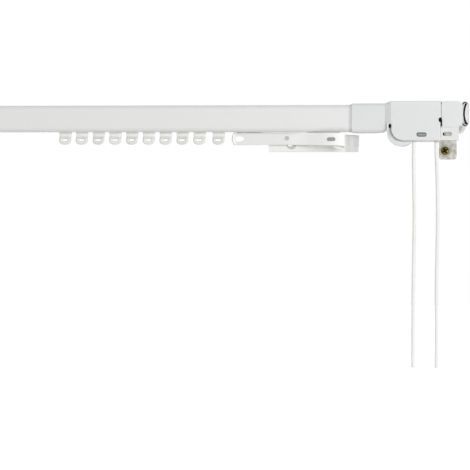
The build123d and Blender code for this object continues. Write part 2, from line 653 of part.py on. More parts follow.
def glider_places():
    """X of each glider, from the one beside the master to the one at the far end."""
    first_step = GLIDER_LAST_X - GLIDER_LAST_GAP
    return [GLIDER_LAST_X] + [first_step - i * GLIDER_PITCH for i in range(GLIDERS - 1)]


def overlap_slider():
    """Moulded master: slider, cord block and the lug that the strip is riveted to."""
    slider_left = MASTER_LEFT + SLIDER_FROM_LEFT
    body = slider_body(slider_left, MASTER_SLIDER, 0, MASTER_BOTTOM)
    middle = slider_left + MASTER_SLIDER / 2
    half = CORD_BLOCK_LENGTH / 2
    block_front = CORD_Y - STOP / 2
    body += brick(middle - half, middle + half, block_front, HEAD_FRONT,
                  LOWER_RUN_Z - CORD_BLOCK_HEIGHT / 2, LOWER_RUN_Z + CORD_BLOCK_HEIGHT / 2)
    body -= beam(Pos(CORD_Y, LOWER_RUN_Z) * Circle(STOP_BORE / 2), middle - half, middle + half)
    lug_right = MASTER_RIVET_X + 2 * RIVET
    body += brick(slider_left, lug_right, HANGER_FRONT, HANGER_BACK, ROD_Z - MASTER_BOTTOM + WALL,
                  ROD_Z - MASTER_TOP)
    body -= slab(master_eye(WALL), HANGER_FRONT - 1, HANGER_BACK + 1)
    return body - master_rivet_bar(RIVET / 2 + SEAT_GAP / 2)


def master_eye(grow):
    """Teardrop hole for the curtain's end hook, seen from the front."""
    z = ROD_Z - (MASTER_TOP + MASTER_BOTTOM) / 2
    big = Pos(MASTER_EYE_X, z) * Circle(MASTER_EYE / 2 + grow)
    small = Pos(MASTER_EYE_X + MASTER_EYE_REACH, z) * Circle(MASTER_EYE_TIP / 2 + grow)
    return make_hull(big.edges() + small.edges())


def master_rivet_bar(radius):
    """Round bar through the strip and the slider's lug."""
    return rod_along_y(MASTER_RIVET_X, ROD_Z - MASTER_RIVET_BELOW, radius,
                       HANGER_FRONT - 2 * ARM_STRIP, HANGER_BACK + 1)


def overlap_rivet():
    """Rivet that holds the strip to the slider's lug."""
    z = ROD_Z - MASTER_RIVET_BELOW
    front = HANGER_FRONT - ARM_STRIP
    rivet = rod_along_y(MASTER_RIVET_X, z, RIVET / 2, front, HANGER_BACK)
    for face in (front - RIVET_HEAD, HANGER_BACK):
        rivet += rod_along_y(MASTER_RIVET_X, z, 0.72 * RIVET, face, face + RIVET_HEAD)
    return rivet


def strip_outline():
    """The strip from the front: round at its left end, falling to the right, with a drooping tip."""
    top, low = ROD_Z - MASTER_TOP, ROD_Z - MASTER_BOTTOM
    fallen = STRIP_KNEE_X + STRIP_STEP
    tip = STRIP_TIP_X + 1
    outline = Polygon((MASTER_LEFT, low), (STRIP_KNEE_X, low), (fallen, low - STRIP_DROP),
                      (tip, low - STRIP_DROP), (tip, top - STRIP_DROP), (fallen, top - STRIP_DROP),
                      (STRIP_KNEE_X, top), (MASTER_LEFT, top), align=None)
    round_end = outline.vertices().group_by(Axis.X)[0]
    return fillet(round_end, (top - low) * 0.46)


def curl_outline():
    """The lower edge of the curl at the strip's tip, from the front."""
    low = ROD_Z - MASTER_BOTTOM - STRIP_DROP
    middle = STRIP_TIP_X - CURL_LEG / 2 - CURL / 2
    return Pos(middle, low) * Ellipse(CURL_LEG / 2 + CURL / 2, CURL_DROP)


def overlap_arm():
    """Steel strip with the hook's eye, which steps forward of the rod and ends in a curl."""
    mid_y = HANGER_FRONT - ARM_STRIP / 2
    front_y = mid_y - STRIP_BOW
    turn_x = STRIP_TIP_X - ARM_STRIP / 2
    curl_y = front_y + 2 * CURL
    path = FilletPolyline(
        (MASTER_LEFT, mid_y), (STRIP_KNEE_X, mid_y), (STRIP_KNEE_X + STRIP_STEP, front_y),
        (turn_x, front_y), (turn_x, curl_y), (turn_x - CURL_LEG, curl_y),
        radius=[STRIP_BEND, STRIP_BEND, CURL - 0.02, CURL - 0.02],
    )
    top, low = ROD_Z - MASTER_TOP, ROD_Z - MASTER_BOTTOM - STRIP_DROP - CURL_DROP
    start = Plane(origin=(MASTER_LEFT, mid_y, (top + low) / 2), x_dir=(0, 1, 0), z_dir=(1, 0, 0))
    strip = sweep(start * Rectangle(ARM_STRIP, top - low), path=Pos(0, 0, (top + low) / 2) * path)
    keep = slab(strip_outline(), front_y - ARM_STRIP, mid_y + ARM_STRIP)
    keep += slab(curl_outline(), front_y + ARM_STRIP, curl_y + ARM_STRIP)
    strip = strip & keep
    rim = slab(strip_outline(), mid_y - ARM_STRIP / 2 - RIM, mid_y - ARM_STRIP / 2)
    rim -= slab(offset(strip_outline(), -RIM), mid_y - ARM_STRIP - RIM, mid_y)
    strip += rim & brick(MASTER_LEFT, MASTER_LEFT + RIM_REACH, FACE_Y, 0, low, top)
    strip -= slab(master_eye(0), mid_y - 2 * ARM_STRIP, mid_y + ARM_STRIP)
    slot_z = ROD_Z - (MASTER_TOP + MASTER_BOTTOM) / 2 - STRIP_DROP
    slot = Pos(STRIP_SLOT_X, slot_z) * SlotOverall(STRIP_SLOT_LENGTH, STRIP_SLOT_HEIGHT)
    strip -= slab(slot, front_y - 2 * ARM_STRIP, front_y + 2 * ARM_STRIP)
    return strip - master_rivet_bar(RIVET / 2 + SEAT_GAP / 2)


def cord_stops():
    """The two moulded beads on the draw cord, one at each end of the master's cord block."""
    middle = MASTER_LEFT + SLIDER_FROM_LEFT + MASTER_SLIDER / 2
    stops = []
    for side in (-1, 1):
        near = middle + side * CORD_BLOCK_LENGTH / 2
        far = near + side * STOP_LENGTH
        ring = Pos(CORD_Y, LOWER_RUN_Z) * (Circle(STOP / 2) - Circle(STOP_BORE / 2))
        stop = beam(ring, min(near, far), max(near, far))
        rims = stop.edges().filter_by(GeomType.CIRCLE).group_by(lambda e: e.radius)[-1]
        stops.append(chamfer(rims, (STOP - STOP_BORE) * 0.3).solid())
    return Compound(children=stops)


def underlap_slider():
    """Moulded slider of the second master, with the lug that carries its plate."""
    body = slider_body(UNDER_SLIDER_LEFT, UNDER_SLIDER, 0, UNDER_LUG_BOTTOM)
    lug = brick(UNDER_SLIDER_LEFT, UNDER_SLIDER_LEFT + UNDER_SLIDER, HANGER_BACK, UNDER_FRONT,
                ROD_Z - UNDER_LUG_BOTTOM, ROD_Z - MASTER_TOP)
    body += lug
    for x in underlap_rivet_places():
        body -= underlap_rivet_bar(x, RIVET / 2 + SEAT_GAP / 2)
    return body


def underlap_rivet_places():
    """X of the two rivets."""
    middle = UNDER_SLIDER_LEFT + UNDER_SLIDER / 2
    return [middle - UNDER_SLIDER / 4, middle + UNDER_SLIDER / 4]


def underlap_rivet_bar(x, radius):
    """Round bar through the lug and the plate."""
    z = ROD_Z - (MASTER_TOP + UNDER_LUG_BOTTOM) / 2
    return rod_along_y(x, z, radius, HANGER_FRONT - 1, UNDER_FRONT + UNDER_SHEET + 1)


def underlap_rivets():
    """Rivets that hold the plate to the lug."""
    z = ROD_Z - (MASTER_TOP + UNDER_LUG_BOTTOM) / 2
    back = UNDER_FRONT + UNDER_SHEET
    rivets = []
    for x in underlap_rivet_places():
        rivet = rod_along_y(x, z, RIVET / 2, HANGER_FRONT, back)
        rivet += rod_along_y(x, z, 0.72 * RIVET, back, back + RIVET_HEAD)
        rivet += rod_along_y(x, z, 0.72 * RIVET, HANGER_FRONT - RIVET_HEAD, HANGER_FRONT)
        rivets.append(rivet.solid())
    return Compound(children=rivets)


def underlap_plate():
    """Steel plate behind the overlap strip: its upper part turns back, its lower edge runs on."""
    mid_y = UNDER_FRONT + UNDER_SHEET / 2
    turn_x = UNDER_LEFT + UNDER_FLAT
    reach = UNDER_TURN_LENGTH + UNDER_TURN_RADIUS
    angle = math.radians(UNDER_TURN)
    end_x = turn_x + reach * math.cos(angle)
    path = FilletPolyline((UNDER_LEFT, mid_y), (turn_x, mid_y), (end_x, mid_y + reach * math.sin(angle)),
                          radius=UNDER_TURN_RADIUS)
    top = ROD_Z - UNDER_TOP
    low = top - UNDER_HEIGHT
    band_top = low + UNDER_BAND
    mid_z = (top + band_top) / 2
    start = Plane(origin=(UNDER_LEFT, mid_y, mid_z), x_dir=(0, 1, 0), z_dir=(1, 0, 0))
    plate = sweep(start * Rectangle(UNDER_SHEET, top - band_top), path=Pos(0, 0, mid_z) * path)
    plate -= brick(turn_x - reach, end_x + reach, UNDER_FRONT - 1, UNDER_FRONT + 2 * reach,
                   band_top - UNDER_BAND_GAP, band_top + UNDER_BAND_GAP)
    plate += brick(UNDER_LEFT, end_x, UNDER_FRONT, UNDER_FRONT + UNDER_SHEET, low, band_top)
    plate += brick(UNDER_LEFT, end_x, mid_y, mid_y + UNDER_LIP, low, low + UNDER_SHEET)
    eye_z = ROD_Z - UNDER_EYE_BELOW
    plate -= rod_along_y(UNDER_EYE_X, eye_z, UNDER_EYE / 2, mid_y - 2, mid_y + 2)
    bevel = Cone(UNDER_EYE / 2 + UNDER_EYE_BEVEL, UNDER_EYE / 2, UNDER_EYE_BEVEL)
    plate -= Pos(UNDER_EYE_X, UNDER_FRONT + UNDER_EYE_BEVEL / 2, eye_z) * Rot(-90, 0, 0) * bevel
    plate -= rod_along_y(UNDER_DIMPLE_X, ROD_Z - UNDER_DIMPLE_BELOW, UNDER_DIMPLE / 2, UNDER_FRONT - 1,
                         UNDER_FRONT + UNDER_DIMPLE_DEPTH)
    for x in underlap_rivet_places():
        plate -= underlap_rivet_bar(x, RIVET / 2 + SEAT_GAP / 2)
    return plate


def tube(path, at, along):
    """Round cord along a path that starts at a point in a direction."""
    return sweep(Plane(origin=at, z_dir=along) * Circle(CORD / 2), path=path)


def cord_run(z):
    """Straight run of the draw cord inside the rod, between the two fittings."""
    return beam(Pos(CORD_Y, z) * Circle(CORD / 2), RUN_LEFT, RUN_RIGHT)


def wheel_bend(run_z, pitch, exit_x):
    """Cord from a run, over its wheel and straight down to its exit."""
    start = (RUN_RIGHT, CORD_Y, run_z)
    path = FilletPolyline(start, (exit_x, CORD_Y, run_z), (exit_x, CORD_Y, HOUSING_BOTTOM_Z),
                          radius=pitch)
    return tube(path, start, (1, 0, 0))


def idler_bend():
    """Cord round the idler, from the upper run to the lower one."""
    top = (IDLER_CENTRE_X, CORD_Y, UPPER_RUN_Z)
    side = (IDLER_CENTRE_X - IDLER_PITCH, CORD_Y, IDLER_Z)
    low = (IDLER_CENTRE_X, CORD_Y, LOWER_RUN_Z)
    start, end = (RUN_LEFT, CORD_Y, UPPER_RUN_Z), (RUN_LEFT, CORD_Y, LOWER_RUN_Z)
    path = Line(start, top) + ThreePointArc(top, side, low) + Line(low, end)
    return tube(path, start, (-1, 0, 0))


def cord_tail(name, exit_x, route):
    """A hanging cord: straight runs joined by the largest arcs that they allow."""
    points = [Vector(exit_x + x, CORD_Y, HOUSING_BOTTOM_Z + z) for x, z in route]
    radii = []
    for before, point, after in zip(points, points[1:], points[2:]):
        turn = math.radians((point - before).get_angle(after - point))
        shorter = min((point - before).length, (after - point).length)
        radii.append(0.45 * shorter / math.tan(turn / 2))
    path = FilletPolyline(*points, radius=radii)
    solid = tube(path, points[0], points[1] - points[0])
    expected = math.pi * (CORD / 2) ** 2 * path.length
    print(name, "length", round(path.length, 1), "radii", [round(r) for r in radii],
          "volume ratio", round(solid.volume / expected, 4))
    return solid


def fittings():
    """The pieces that both ends share, by name, at the right end."""
    return {
        "corner_piece": corner_piece(),
        "return_arm": return_arm(),
        "corner_rivet": corner_rivet(),
        "cover_clip": cover_clip(),
        "lock_screw": lock_screw(),
        "wall_bracket": wall_bracket(),
        "wall_screws": wall_screws(),
    }


def build():
    """Every piece by its node's name."""
    pieces = {}
    for track_name, strips in (("outer_track", outer_track()), ("inner_track", inner_track())):
        for strip_name, strip in strips.items():
            pieces[f"{track_name}_{strip_name}"] = strip
    for name, shape in fittings().items():
        pieces["right_" + name] = shape
        pieces["left_" + name] = mirrored(shape)
    pieces["right_housing_cover"] = housing_cover(TRACK_HEIGHT, TRACK_DEPTH, TRACK_CORNER, True)
    pieces["right_housing_back"] = housing_back(True)
    pieces["left_housing_cover"] = mirrored(housing_cover(INNER_HEIGHT, INNER_DEPTH, INNER_CORNER, False))
    pieces["left_housing_back"] = mirrored(housing_back(False))
    axles = [axle(x, z) for x, z in wheel_centres(True)]
    pieces["right_pulley_axles"] = Compound(children=axles)
    pieces["idler_axle"] = mirrored(axle(IDLER_X, IDLER_Z))
    pieces["lower_cord_pulley"] = cord_wheel(LOWER_WHEEL_X, LOWER_WHEEL_Z, LOWER_WHEEL_PITCH,
                                             LOWER_FLANGE)
    pieces["upper_cord_pulley"] = cord_wheel(UPPER_WHEEL_X, UPPER_WHEEL_Z, UPPER_WHEEL_PITCH,
                                             UPPER_FLANGE)
    pieces["idler_pulley"] = cord_wheel(IDLER_CENTRE_X, IDLER_Z, IDLER_PITCH, IDLER_FLANGE)
    for number, x in enumerate(glider_places(), start=1):
        pieces[f"glider_{number:02d}"] = glider(x)
    pieces["overlap_slider"] = overlap_slider()
    pieces["overlap_arm"] = overlap_arm()
    pieces["overlap_rivet"] = overlap_rivet()
    pieces["cord_stops"] = cord_stops()
    pieces["underlap_slider"] = underlap_slider()
    pieces["underlap_plate"] = underlap_plate()
    pieces["underlap_rivets"] = underlap_rivets()
    pieces["draw_cord_lower_run"] = cord_run(LOWER_RUN_Z)
    pieces["draw_cord_upper_run"] = cord_run(UPPER_RUN_Z)
    pieces["draw_cord_lower_bend"] = wheel_bend(LOWER_RUN_Z, LOWER_WHEEL_PITCH, LEFT_EXIT_X)
    pieces["draw_cord_upper_bend"] = wheel_bend(UPPER_RUN_Z, UPPER_WHEEL_PITCH, RIGHT_EXIT_X)
    pieces["draw_cord_idler_bend"] = idler_bend()
    pieces["cord_tail_left"] = cord_tail("cord_tail_left", LEFT_EXIT_X, LEFT_TAIL)
    pieces["cord_tail_right"] = cord_tail("cord_tail_right", RIGHT_EXIT_X, RIGHT_TAIL)
    return pieces


os.makedirs("parts", exist_ok=True)
for node, piece in build().items():
    export_step(piece, f"parts/{node}.step")
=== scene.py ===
"""Extendable corded curtain track: rolled tracks, end fittings, cords, gliders, masters and studio."""

from __future__ import annotations

import json
import logging
import math
from collections.abc import Callable
from dataclasses import dataclass
from enum import Enum

import bmesh
import bpy
import numpy as np
from mathutils import Matrix, Vector

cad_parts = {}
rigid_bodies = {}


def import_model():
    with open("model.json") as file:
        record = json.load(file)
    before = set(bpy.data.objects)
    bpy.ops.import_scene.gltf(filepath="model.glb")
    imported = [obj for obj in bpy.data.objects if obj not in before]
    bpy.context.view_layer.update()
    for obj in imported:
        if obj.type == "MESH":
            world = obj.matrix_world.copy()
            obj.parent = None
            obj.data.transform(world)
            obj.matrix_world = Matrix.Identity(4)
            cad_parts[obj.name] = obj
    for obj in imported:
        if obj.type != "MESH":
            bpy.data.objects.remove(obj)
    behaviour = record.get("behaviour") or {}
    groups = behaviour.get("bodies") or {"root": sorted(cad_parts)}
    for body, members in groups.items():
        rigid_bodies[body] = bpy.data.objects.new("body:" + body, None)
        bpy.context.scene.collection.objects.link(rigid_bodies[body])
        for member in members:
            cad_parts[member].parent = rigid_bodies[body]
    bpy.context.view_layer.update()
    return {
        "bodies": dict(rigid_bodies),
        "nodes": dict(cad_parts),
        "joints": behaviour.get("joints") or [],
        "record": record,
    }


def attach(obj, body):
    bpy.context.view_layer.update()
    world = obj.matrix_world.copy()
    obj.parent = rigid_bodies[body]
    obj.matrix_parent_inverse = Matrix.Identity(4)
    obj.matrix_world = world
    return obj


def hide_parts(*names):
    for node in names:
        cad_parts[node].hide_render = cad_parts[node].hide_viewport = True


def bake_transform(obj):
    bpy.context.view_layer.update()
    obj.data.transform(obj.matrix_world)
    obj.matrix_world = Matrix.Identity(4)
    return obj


log = logging.getLogger("curtain_track")

# Sizes and places are in millimetres, and MM takes them to Blender's metres.
MM = 0.001
ROD_Z = 11.0
CORD_Y = -85.0
CORD_DIAMETER = 3.4
CORD_END_INSET = (0.0, 0.06, 0.25)      # last stations of a cord from its end, in radii
CORD_END_SIZE = (0.80, 0.94)            # radii of the first two of them
HOUSING_BOTTOM_Z = -12.1
LEFT_ORIGIN = -802.6


# Small helpers

def linear(hex_colour: str) -> tuple[float, float, float, float]:
    """Turns an sRGB hex colour into linear RGBA.

    Args:
        hex_colour: six hex digits.

    Returns:
        Linear red, green and blue, and an alpha of 1.
    """
    srgb = np.array([int(hex_colour[i:i + 2], 16) for i in (0, 2, 4)]) / 255.0
    rgb = np.where(srgb <= 0.04045, srgb / 12.92, ((srgb + 0.055) / 1.055) ** 2.4)
    return (float(rgb[0]), float(rgb[1]), float(rgb[2]), 1.0)


def add_node(tree: bpy.types.NodeTree, kind: str, values: dict | None = None,
             links: dict | None = None, **settings: object) -> bpy.types.Node:
    """Adds one node, sets it up and links its inputs.

    Args:
        tree: the node tree.
        kind: the node's type name.
        values: input socket to its default value.
        links: input socket to the output socket that feeds it.
        **settings: attributes of the node.

    Returns:
        The new node.
    """
    node = tree.nodes.new(kind)
    for name, value in settings.items():
        setattr(node, name, value)
    for name, value in (values or {}).items():
        node.inputs[name].default_value = value
    for name, socket in (links or {}).items():
        tree.links.new(socket, node.inputs[name])
    return node


def mesh_object(name: str, points: np.ndarray, quads: np.ndarray, uv: np.ndarray | None = None,
                caps: list[np.ndarray] | None = None) -> bpy.types.Object:
    """Puts arrays into a smooth mesh object at the origin.

    Args:
        name: the piece's name.
        points: vertices, n by 3, in metres.
        quads: vertex indices, m by 4.
        uv: corner coordinates of the quads, m by 4 by 2.
        caps: closing faces with more corners.

    Returns:
        The linked object.
    """
    faces = quads.tolist() + [c.tolist() for c in caps or []]
    mesh = bpy.data.meshes.new(name)
    mesh.from_pydata(points.tolist(), [], faces)
    if uv is not None:
        layer = mesh.uv_layers.new(name="UVMap")
        flat = np.zeros((len(mesh.loops), 2))
        flat[:uv.shape[0] * 4] = uv.reshape(-1, 2)
        layer.data.foreach_set("uv", flat.ravel())
    mesh.polygons.foreach_set("use_smooth", np.ones(len(mesh.polygons), dtype=bool))
    mesh.update()
    piece = bpy.data.objects.new(name, mesh)
    bpy.context.scene.collection.objects.link(piece)
    return piece


def full_turn(steps: int) -> np.ndarray:
    """Returns equal angles round a full turn, its end left out."""
    return np.linspace(0.0, 2.0 * np.pi, steps, endpoint=False)


def circle(angle: np.ndarray) -> np.ndarray:
    """Returns the points (cos a, sin a), n by 2."""
    return np.column_stack([np.cos(angle), np.sin(angle)])


def upright(outline: np.ndarray, y: float) -> np.ndarray:
    """Returns an outline in X and Z, n by 2, as points at the depth y, n by 3."""
    return np.column_stack([outline[:, 0], np.full(len(outline), y), outline[:, 1]])


def unit(vectors: np.ndarray) -> np.ndarray:
    """Returns the rows, each divided by its length."""
    return vectors / np.linalg.norm(vectors, axis=1, keepdims=True)


def smooth_step(value: np.ndarray) -> np.ndarray:
    """Returns 3v^2 - 2v^3 of the value clipped to 0..1."""
    v = np.clip(value, 0.0, 1.0)
    return v * v * (3.0 - 2.0 * v)


def ring_quads(rows: int, columns: int) -> np.ndarray:
    """Quads of a tube of rows by columns whose columns close up.

    Args:
        rows: stations along the tube.
        columns: corners round it.

    Returns:
        Vertex indices, (rows - 1) * columns by 4, facing outwards for a right-handed sweep.
    """
    row, column = np.meshgrid(np.arange(rows - 1), np.arange(columns), indexing="ij")
    beside = (column + 1) % columns
    quads = np.stack([row * columns + column, row * columns + beside,
                      (row + 1) * columns + beside, (row + 1) * columns + column], axis=-1)
    return quads.reshape(-1, 4)


def wrapped_quads(rows: int, columns: int) -> np.ndarray:
    """Quads of a ring whose rows and columns both close on themselves.

    Args:
        rows: stations round the ring.
        columns: corners round its section.

    Returns:
        Vertex indices, rows * columns by 4.
    """
    row, column = np.meshgrid(np.arange(rows), np.arange(columns), indexing="ij")
    after, beside = (row + 1) % rows, (column + 1) % columns
    return np.stack([row * columns + column, row * columns + beside, after * columns + beside,
                     after * columns + column], -1).reshape(-1, 4)


def outward(piece: bpy.types.Object, sharp_degrees: float = 38.0) -> bpy.types.Object:
    """Merges doubles, turns a closed piece's faces outwards and keeps its steeper edges sharp.

    Args:
        piece: a closed mesh object.
        sharp_degrees: edges that turn by more than this stay sharp.

    Returns:
        The piece.
    """
    work = bmesh.new()
    work.from_mesh(piece.data)
    bmesh.ops.remove_doubles(work, verts=work.verts, dist=1e-7)
    bmesh.ops.recalc_face_normals(work, faces=work.faces)
    work.to_mesh(piece.data)
    work.free()
    piece.data.set_sharp_from_angle(angle=math.radians(sharp_degrees))
    return piece


def write_points(piece: bpy.types.Object, attribute: str, values: np.ndarray) -> None:
    """Writes one number for each of a mesh's points.

    Args:
        piece: a mesh object.
        attribute: the attribute's name.
        values: the numbers.
    """
    layer = piece.data.attributes.new(attribute, "FLOAT", "POINT")
    layer.data.foreach_set("value", np.asarray(values, dtype=np.float32))


def mark_points(piece: bpy.types.Object, attribute: str,
                amount: Callable[[np.ndarray], np.ndarray]) -> None:
    """Writes a point attribute worked out from the points' places in millimetres.

    Args:
        piece: a mesh object.
        attribute: the attribute's name.
        amount: function of the points, n by 3, that returns n values.
    """
    flat = np.empty(len(piece.data.vertices) * 3, dtype=np.float32)
    piece.data.vertices.foreach_get("co", flat)
    write_points(piece, attribute, amount(flat.reshape(-1, 3) / MM))


def loft_parts(rings: list[np.ndarray]) -> tuple[np.ndarray, np.ndarray, list[np.ndarray]]:
    """Points, quads and end caps of several lofts that make one piece.

    Args:
        rings: for each loft its rings, rows by columns by 3.

    Returns:
        Points, quads and the closing faces.
    """
    points, quads, caps, count = [], [], [], 0
    for loft in rings:
        rows, columns = loft.shape[:2]
        points.append(loft.reshape(-1, 3))
        quads.append(ring_quads(rows, columns) + count)
        caps += [np.arange(columns)[::-1] + count, (rows - 1) * columns + np.arange(columns) + count]
        count += rows * columns
    return np.vstack(points), np.vstack(quads), caps


def lofted(name: str, *rings: np.ndarray, sharp_degrees: float = 38.0,
           marks: dict[str, np.ndarray] | None = None) -> bpy.types.Object:
    """One piece from closed lofts given in millimetres.

    Args:
        name: the piece's name.
        *rings: each loft's rings, rows by columns by 3.
        sharp_degrees: edges that turn by more than this stay sharp.
        marks: point attribute to its values, in the order of the rings' points.

    Returns:
        The piece.
    """
    points, quads, caps = loft_parts(list(rings))
    piece = mesh_object(name, points * MM, quads, caps=caps)
    for attribute, values in (marks or {}).items():
        write_points(piece, attribute, values)
    return outward(piece, sharp_degrees)


def round_rectangle(width: float, height: float, radius: float, steps: int = 4,
                    middle: tuple[float, float] = (0.0, 0.0)) -> np.ndarray:
    """Outline of a rectangle with quarter circles at its corners.

    Args:
        width: along the first axis.
        height: along the second axis.
        radius: of the corners.
        steps: points on each corner, less one.
        middle: its centre.

    Returns:
        Points, n by 2.
    """
    angle = np.linspace(0.0, np.pi / 2, steps + 1)
    centre = np.array([width / 2 - radius, height / 2 - radius])
    arcs = [centre * np.array(signs) + radius * circle(angle + turn) for signs, turn in
            (((1, 1), 0.0), ((-1, 1), np.pi / 2), ((-1, -1), np.pi), ((1, -1), 1.5 * np.pi))]
    return np.vstack(arcs) + np.array(middle)


def cut(piece: bpy.types.Object, *cutters: bpy.types.Object) -> bpy.types.Object:
    """Takes closed cutters out of a piece and deletes them.

    Args:
        piece: what is cut.
        *cutters: closed objects.

    Returns:
        The piece with its new mesh.
    """
    for cutter in cutters:
        modifier = piece.modifiers.new("cut", "BOOLEAN")
        modifier.operation, modifier.object, modifier.solver = "DIFFERENCE", cutter, "EXACT"
    bpy.context.view_layer.update()
    mesh = bpy.data.meshes.new_from_object(piece.evaluated_get(bpy.context.evaluated_depsgraph_get()))
    piece.modifiers.clear()
    old, piece.data = piece.data, mesh
    name = old.name
    bpy.data.meshes.remove(old)
    mesh.name = name
    for cutter in cutters:
        bpy.data.objects.remove(cutter)
    return outward(piece)


def flat_tube(name: str, line: np.ndarray, radius: float, sides: int = 20) -> bpy.types.Object:
    """A round cord along a line that stays in one plane of constant Y.

    A point of the surface is the line's point plus radius times (cos a * n + sin a * y), where n is
    the line's normal in its plane and y the plane's own. The last stations at each end draw in to a
    rounded cut. The UV map's U goes once round and V is metres along the cord.

    Args:
        name: the piece's name.
        line: centre line, n by 3, in metres.
        radius: of the cord, in metres.
        sides: corners round it.

    Returns:
        The cord.
    """
    tangent = unit(np.gradient(line, axis=0))
    inset = np.array(CORD_END_INSET) * radius
    start = line[0] + tangent[0] * inset[:, None]
    end = line[-1] - tangent[-1] * inset[::-1, None]
    line = np.vstack([start, line[1:-1], end])
    tangent = np.vstack([np.repeat(tangent[:1], 3, 0), tangent[1:-1], np.repeat(tangent[-1:], 3, 0)])
    size = np.full(len(line), radius)
    size[:2] = size[-2:][::-1] = np.array(CORD_END_SIZE) * radius
    across = np.array([0.0, 1.0, 0.0])
    normal = np.cross(across, tangent)
    angle = full_turn(sides)
    points = (line[:, None, :] + size[:, None, None]
              * (np.cos(angle)[None, :, None] * normal[:, None, :]
                 + np.sin(angle)[None, :, None] * across[None, None, :]))
    along = np.concatenate([[0.0], np.cumsum(np.linalg.norm(np.diff(line, axis=0), axis=1))])
    rows = len(line)
    row, column = np.meshgrid(np.arange(rows - 1), np.arange(sides), indexing="ij")
    u = np.stack([column, column + 1, column + 1, column], -1) / sides
    v = np.stack([along[row], along[row], along[row + 1], along[row + 1]], -1)
    caps = [np.arange(sides)[::-1], (rows - 1) * sides + np.arange(sides)]
    return mesh_object(name, points.reshape(-1, 3), ring_quads(rows, sides),
                       np.stack([u, v], -1).reshape(-1, 4, 2), caps)


# Finishes

def start_material(name: str, sockets: dict[str, object]
                   ) -> tuple[bpy.types.Material, bpy.types.NodeTree, bpy.types.Node]:
    """Starts a material on its Principled shader.

    Args:
        name: the material's name.
        sockets: the shader's own sockets and their values.

    Returns:
        The material, its node tree and the shader.
    """
    material = bpy.data.materials.new(name)
    material.use_nodes = True
    shader = material.node_tree.nodes["Principled BSDF"]
    for socket, value in sockets.items():
        shader.inputs[socket].default_value = value
    return material, material.node_tree, shader


def join_skin(tree: bpy.types.NodeTree, shader: bpy.types.Node, colour: bpy.types.NodeSocket,
              height: bpy.types.NodeSocket, relief_mm: float, strength: float = 0.5) -> None:
    """Links a colour and a relief to the shader.

    Args:
        tree: the material's node tree.
        shader: its Principled shader.
        colour: output with the colour.
        height: output with the relief's height, 0 to 1.
        relief_mm: what 1 stands for.
        strength: how much of the relief shows.
    """
    tree.links.new(colour, shader.inputs["Base Color"])
    bump = add_node(tree, "ShaderNodeBump", {"Strength": strength, "Distance": relief_mm * MM},
                    {"Height": height})
    tree.links.new(bump.outputs["Normal"], shader.inputs["Normal"])


def wandering(share: float, depth_mm: float = 1.2) -> dict[str, object]:
    """Sockets that let light wander under a pale skin, the same for all colours.

    Args:
        share: how much of the light does so.
        depth_mm: how far it comes out again.

    Returns:
        Socket names and their values.
    """
    return {"Subsurface Weight": share, "Subsurface Radius": (1.0, 1.0, 1.0),
            "Subsurface Scale": depth_mm * MM}


class Coating:
    """What the finishes share: a name, and a material that is made once."""

    name: str

    def material(self) -> bpy.types.Material:
        """Returns the finish's material, made once."""
        return bpy.data.materials.get(self.name) or self.build()

    def build(self) -> bpy.types.Material:
        """Returns a new material."""
        raise NotImplementedError


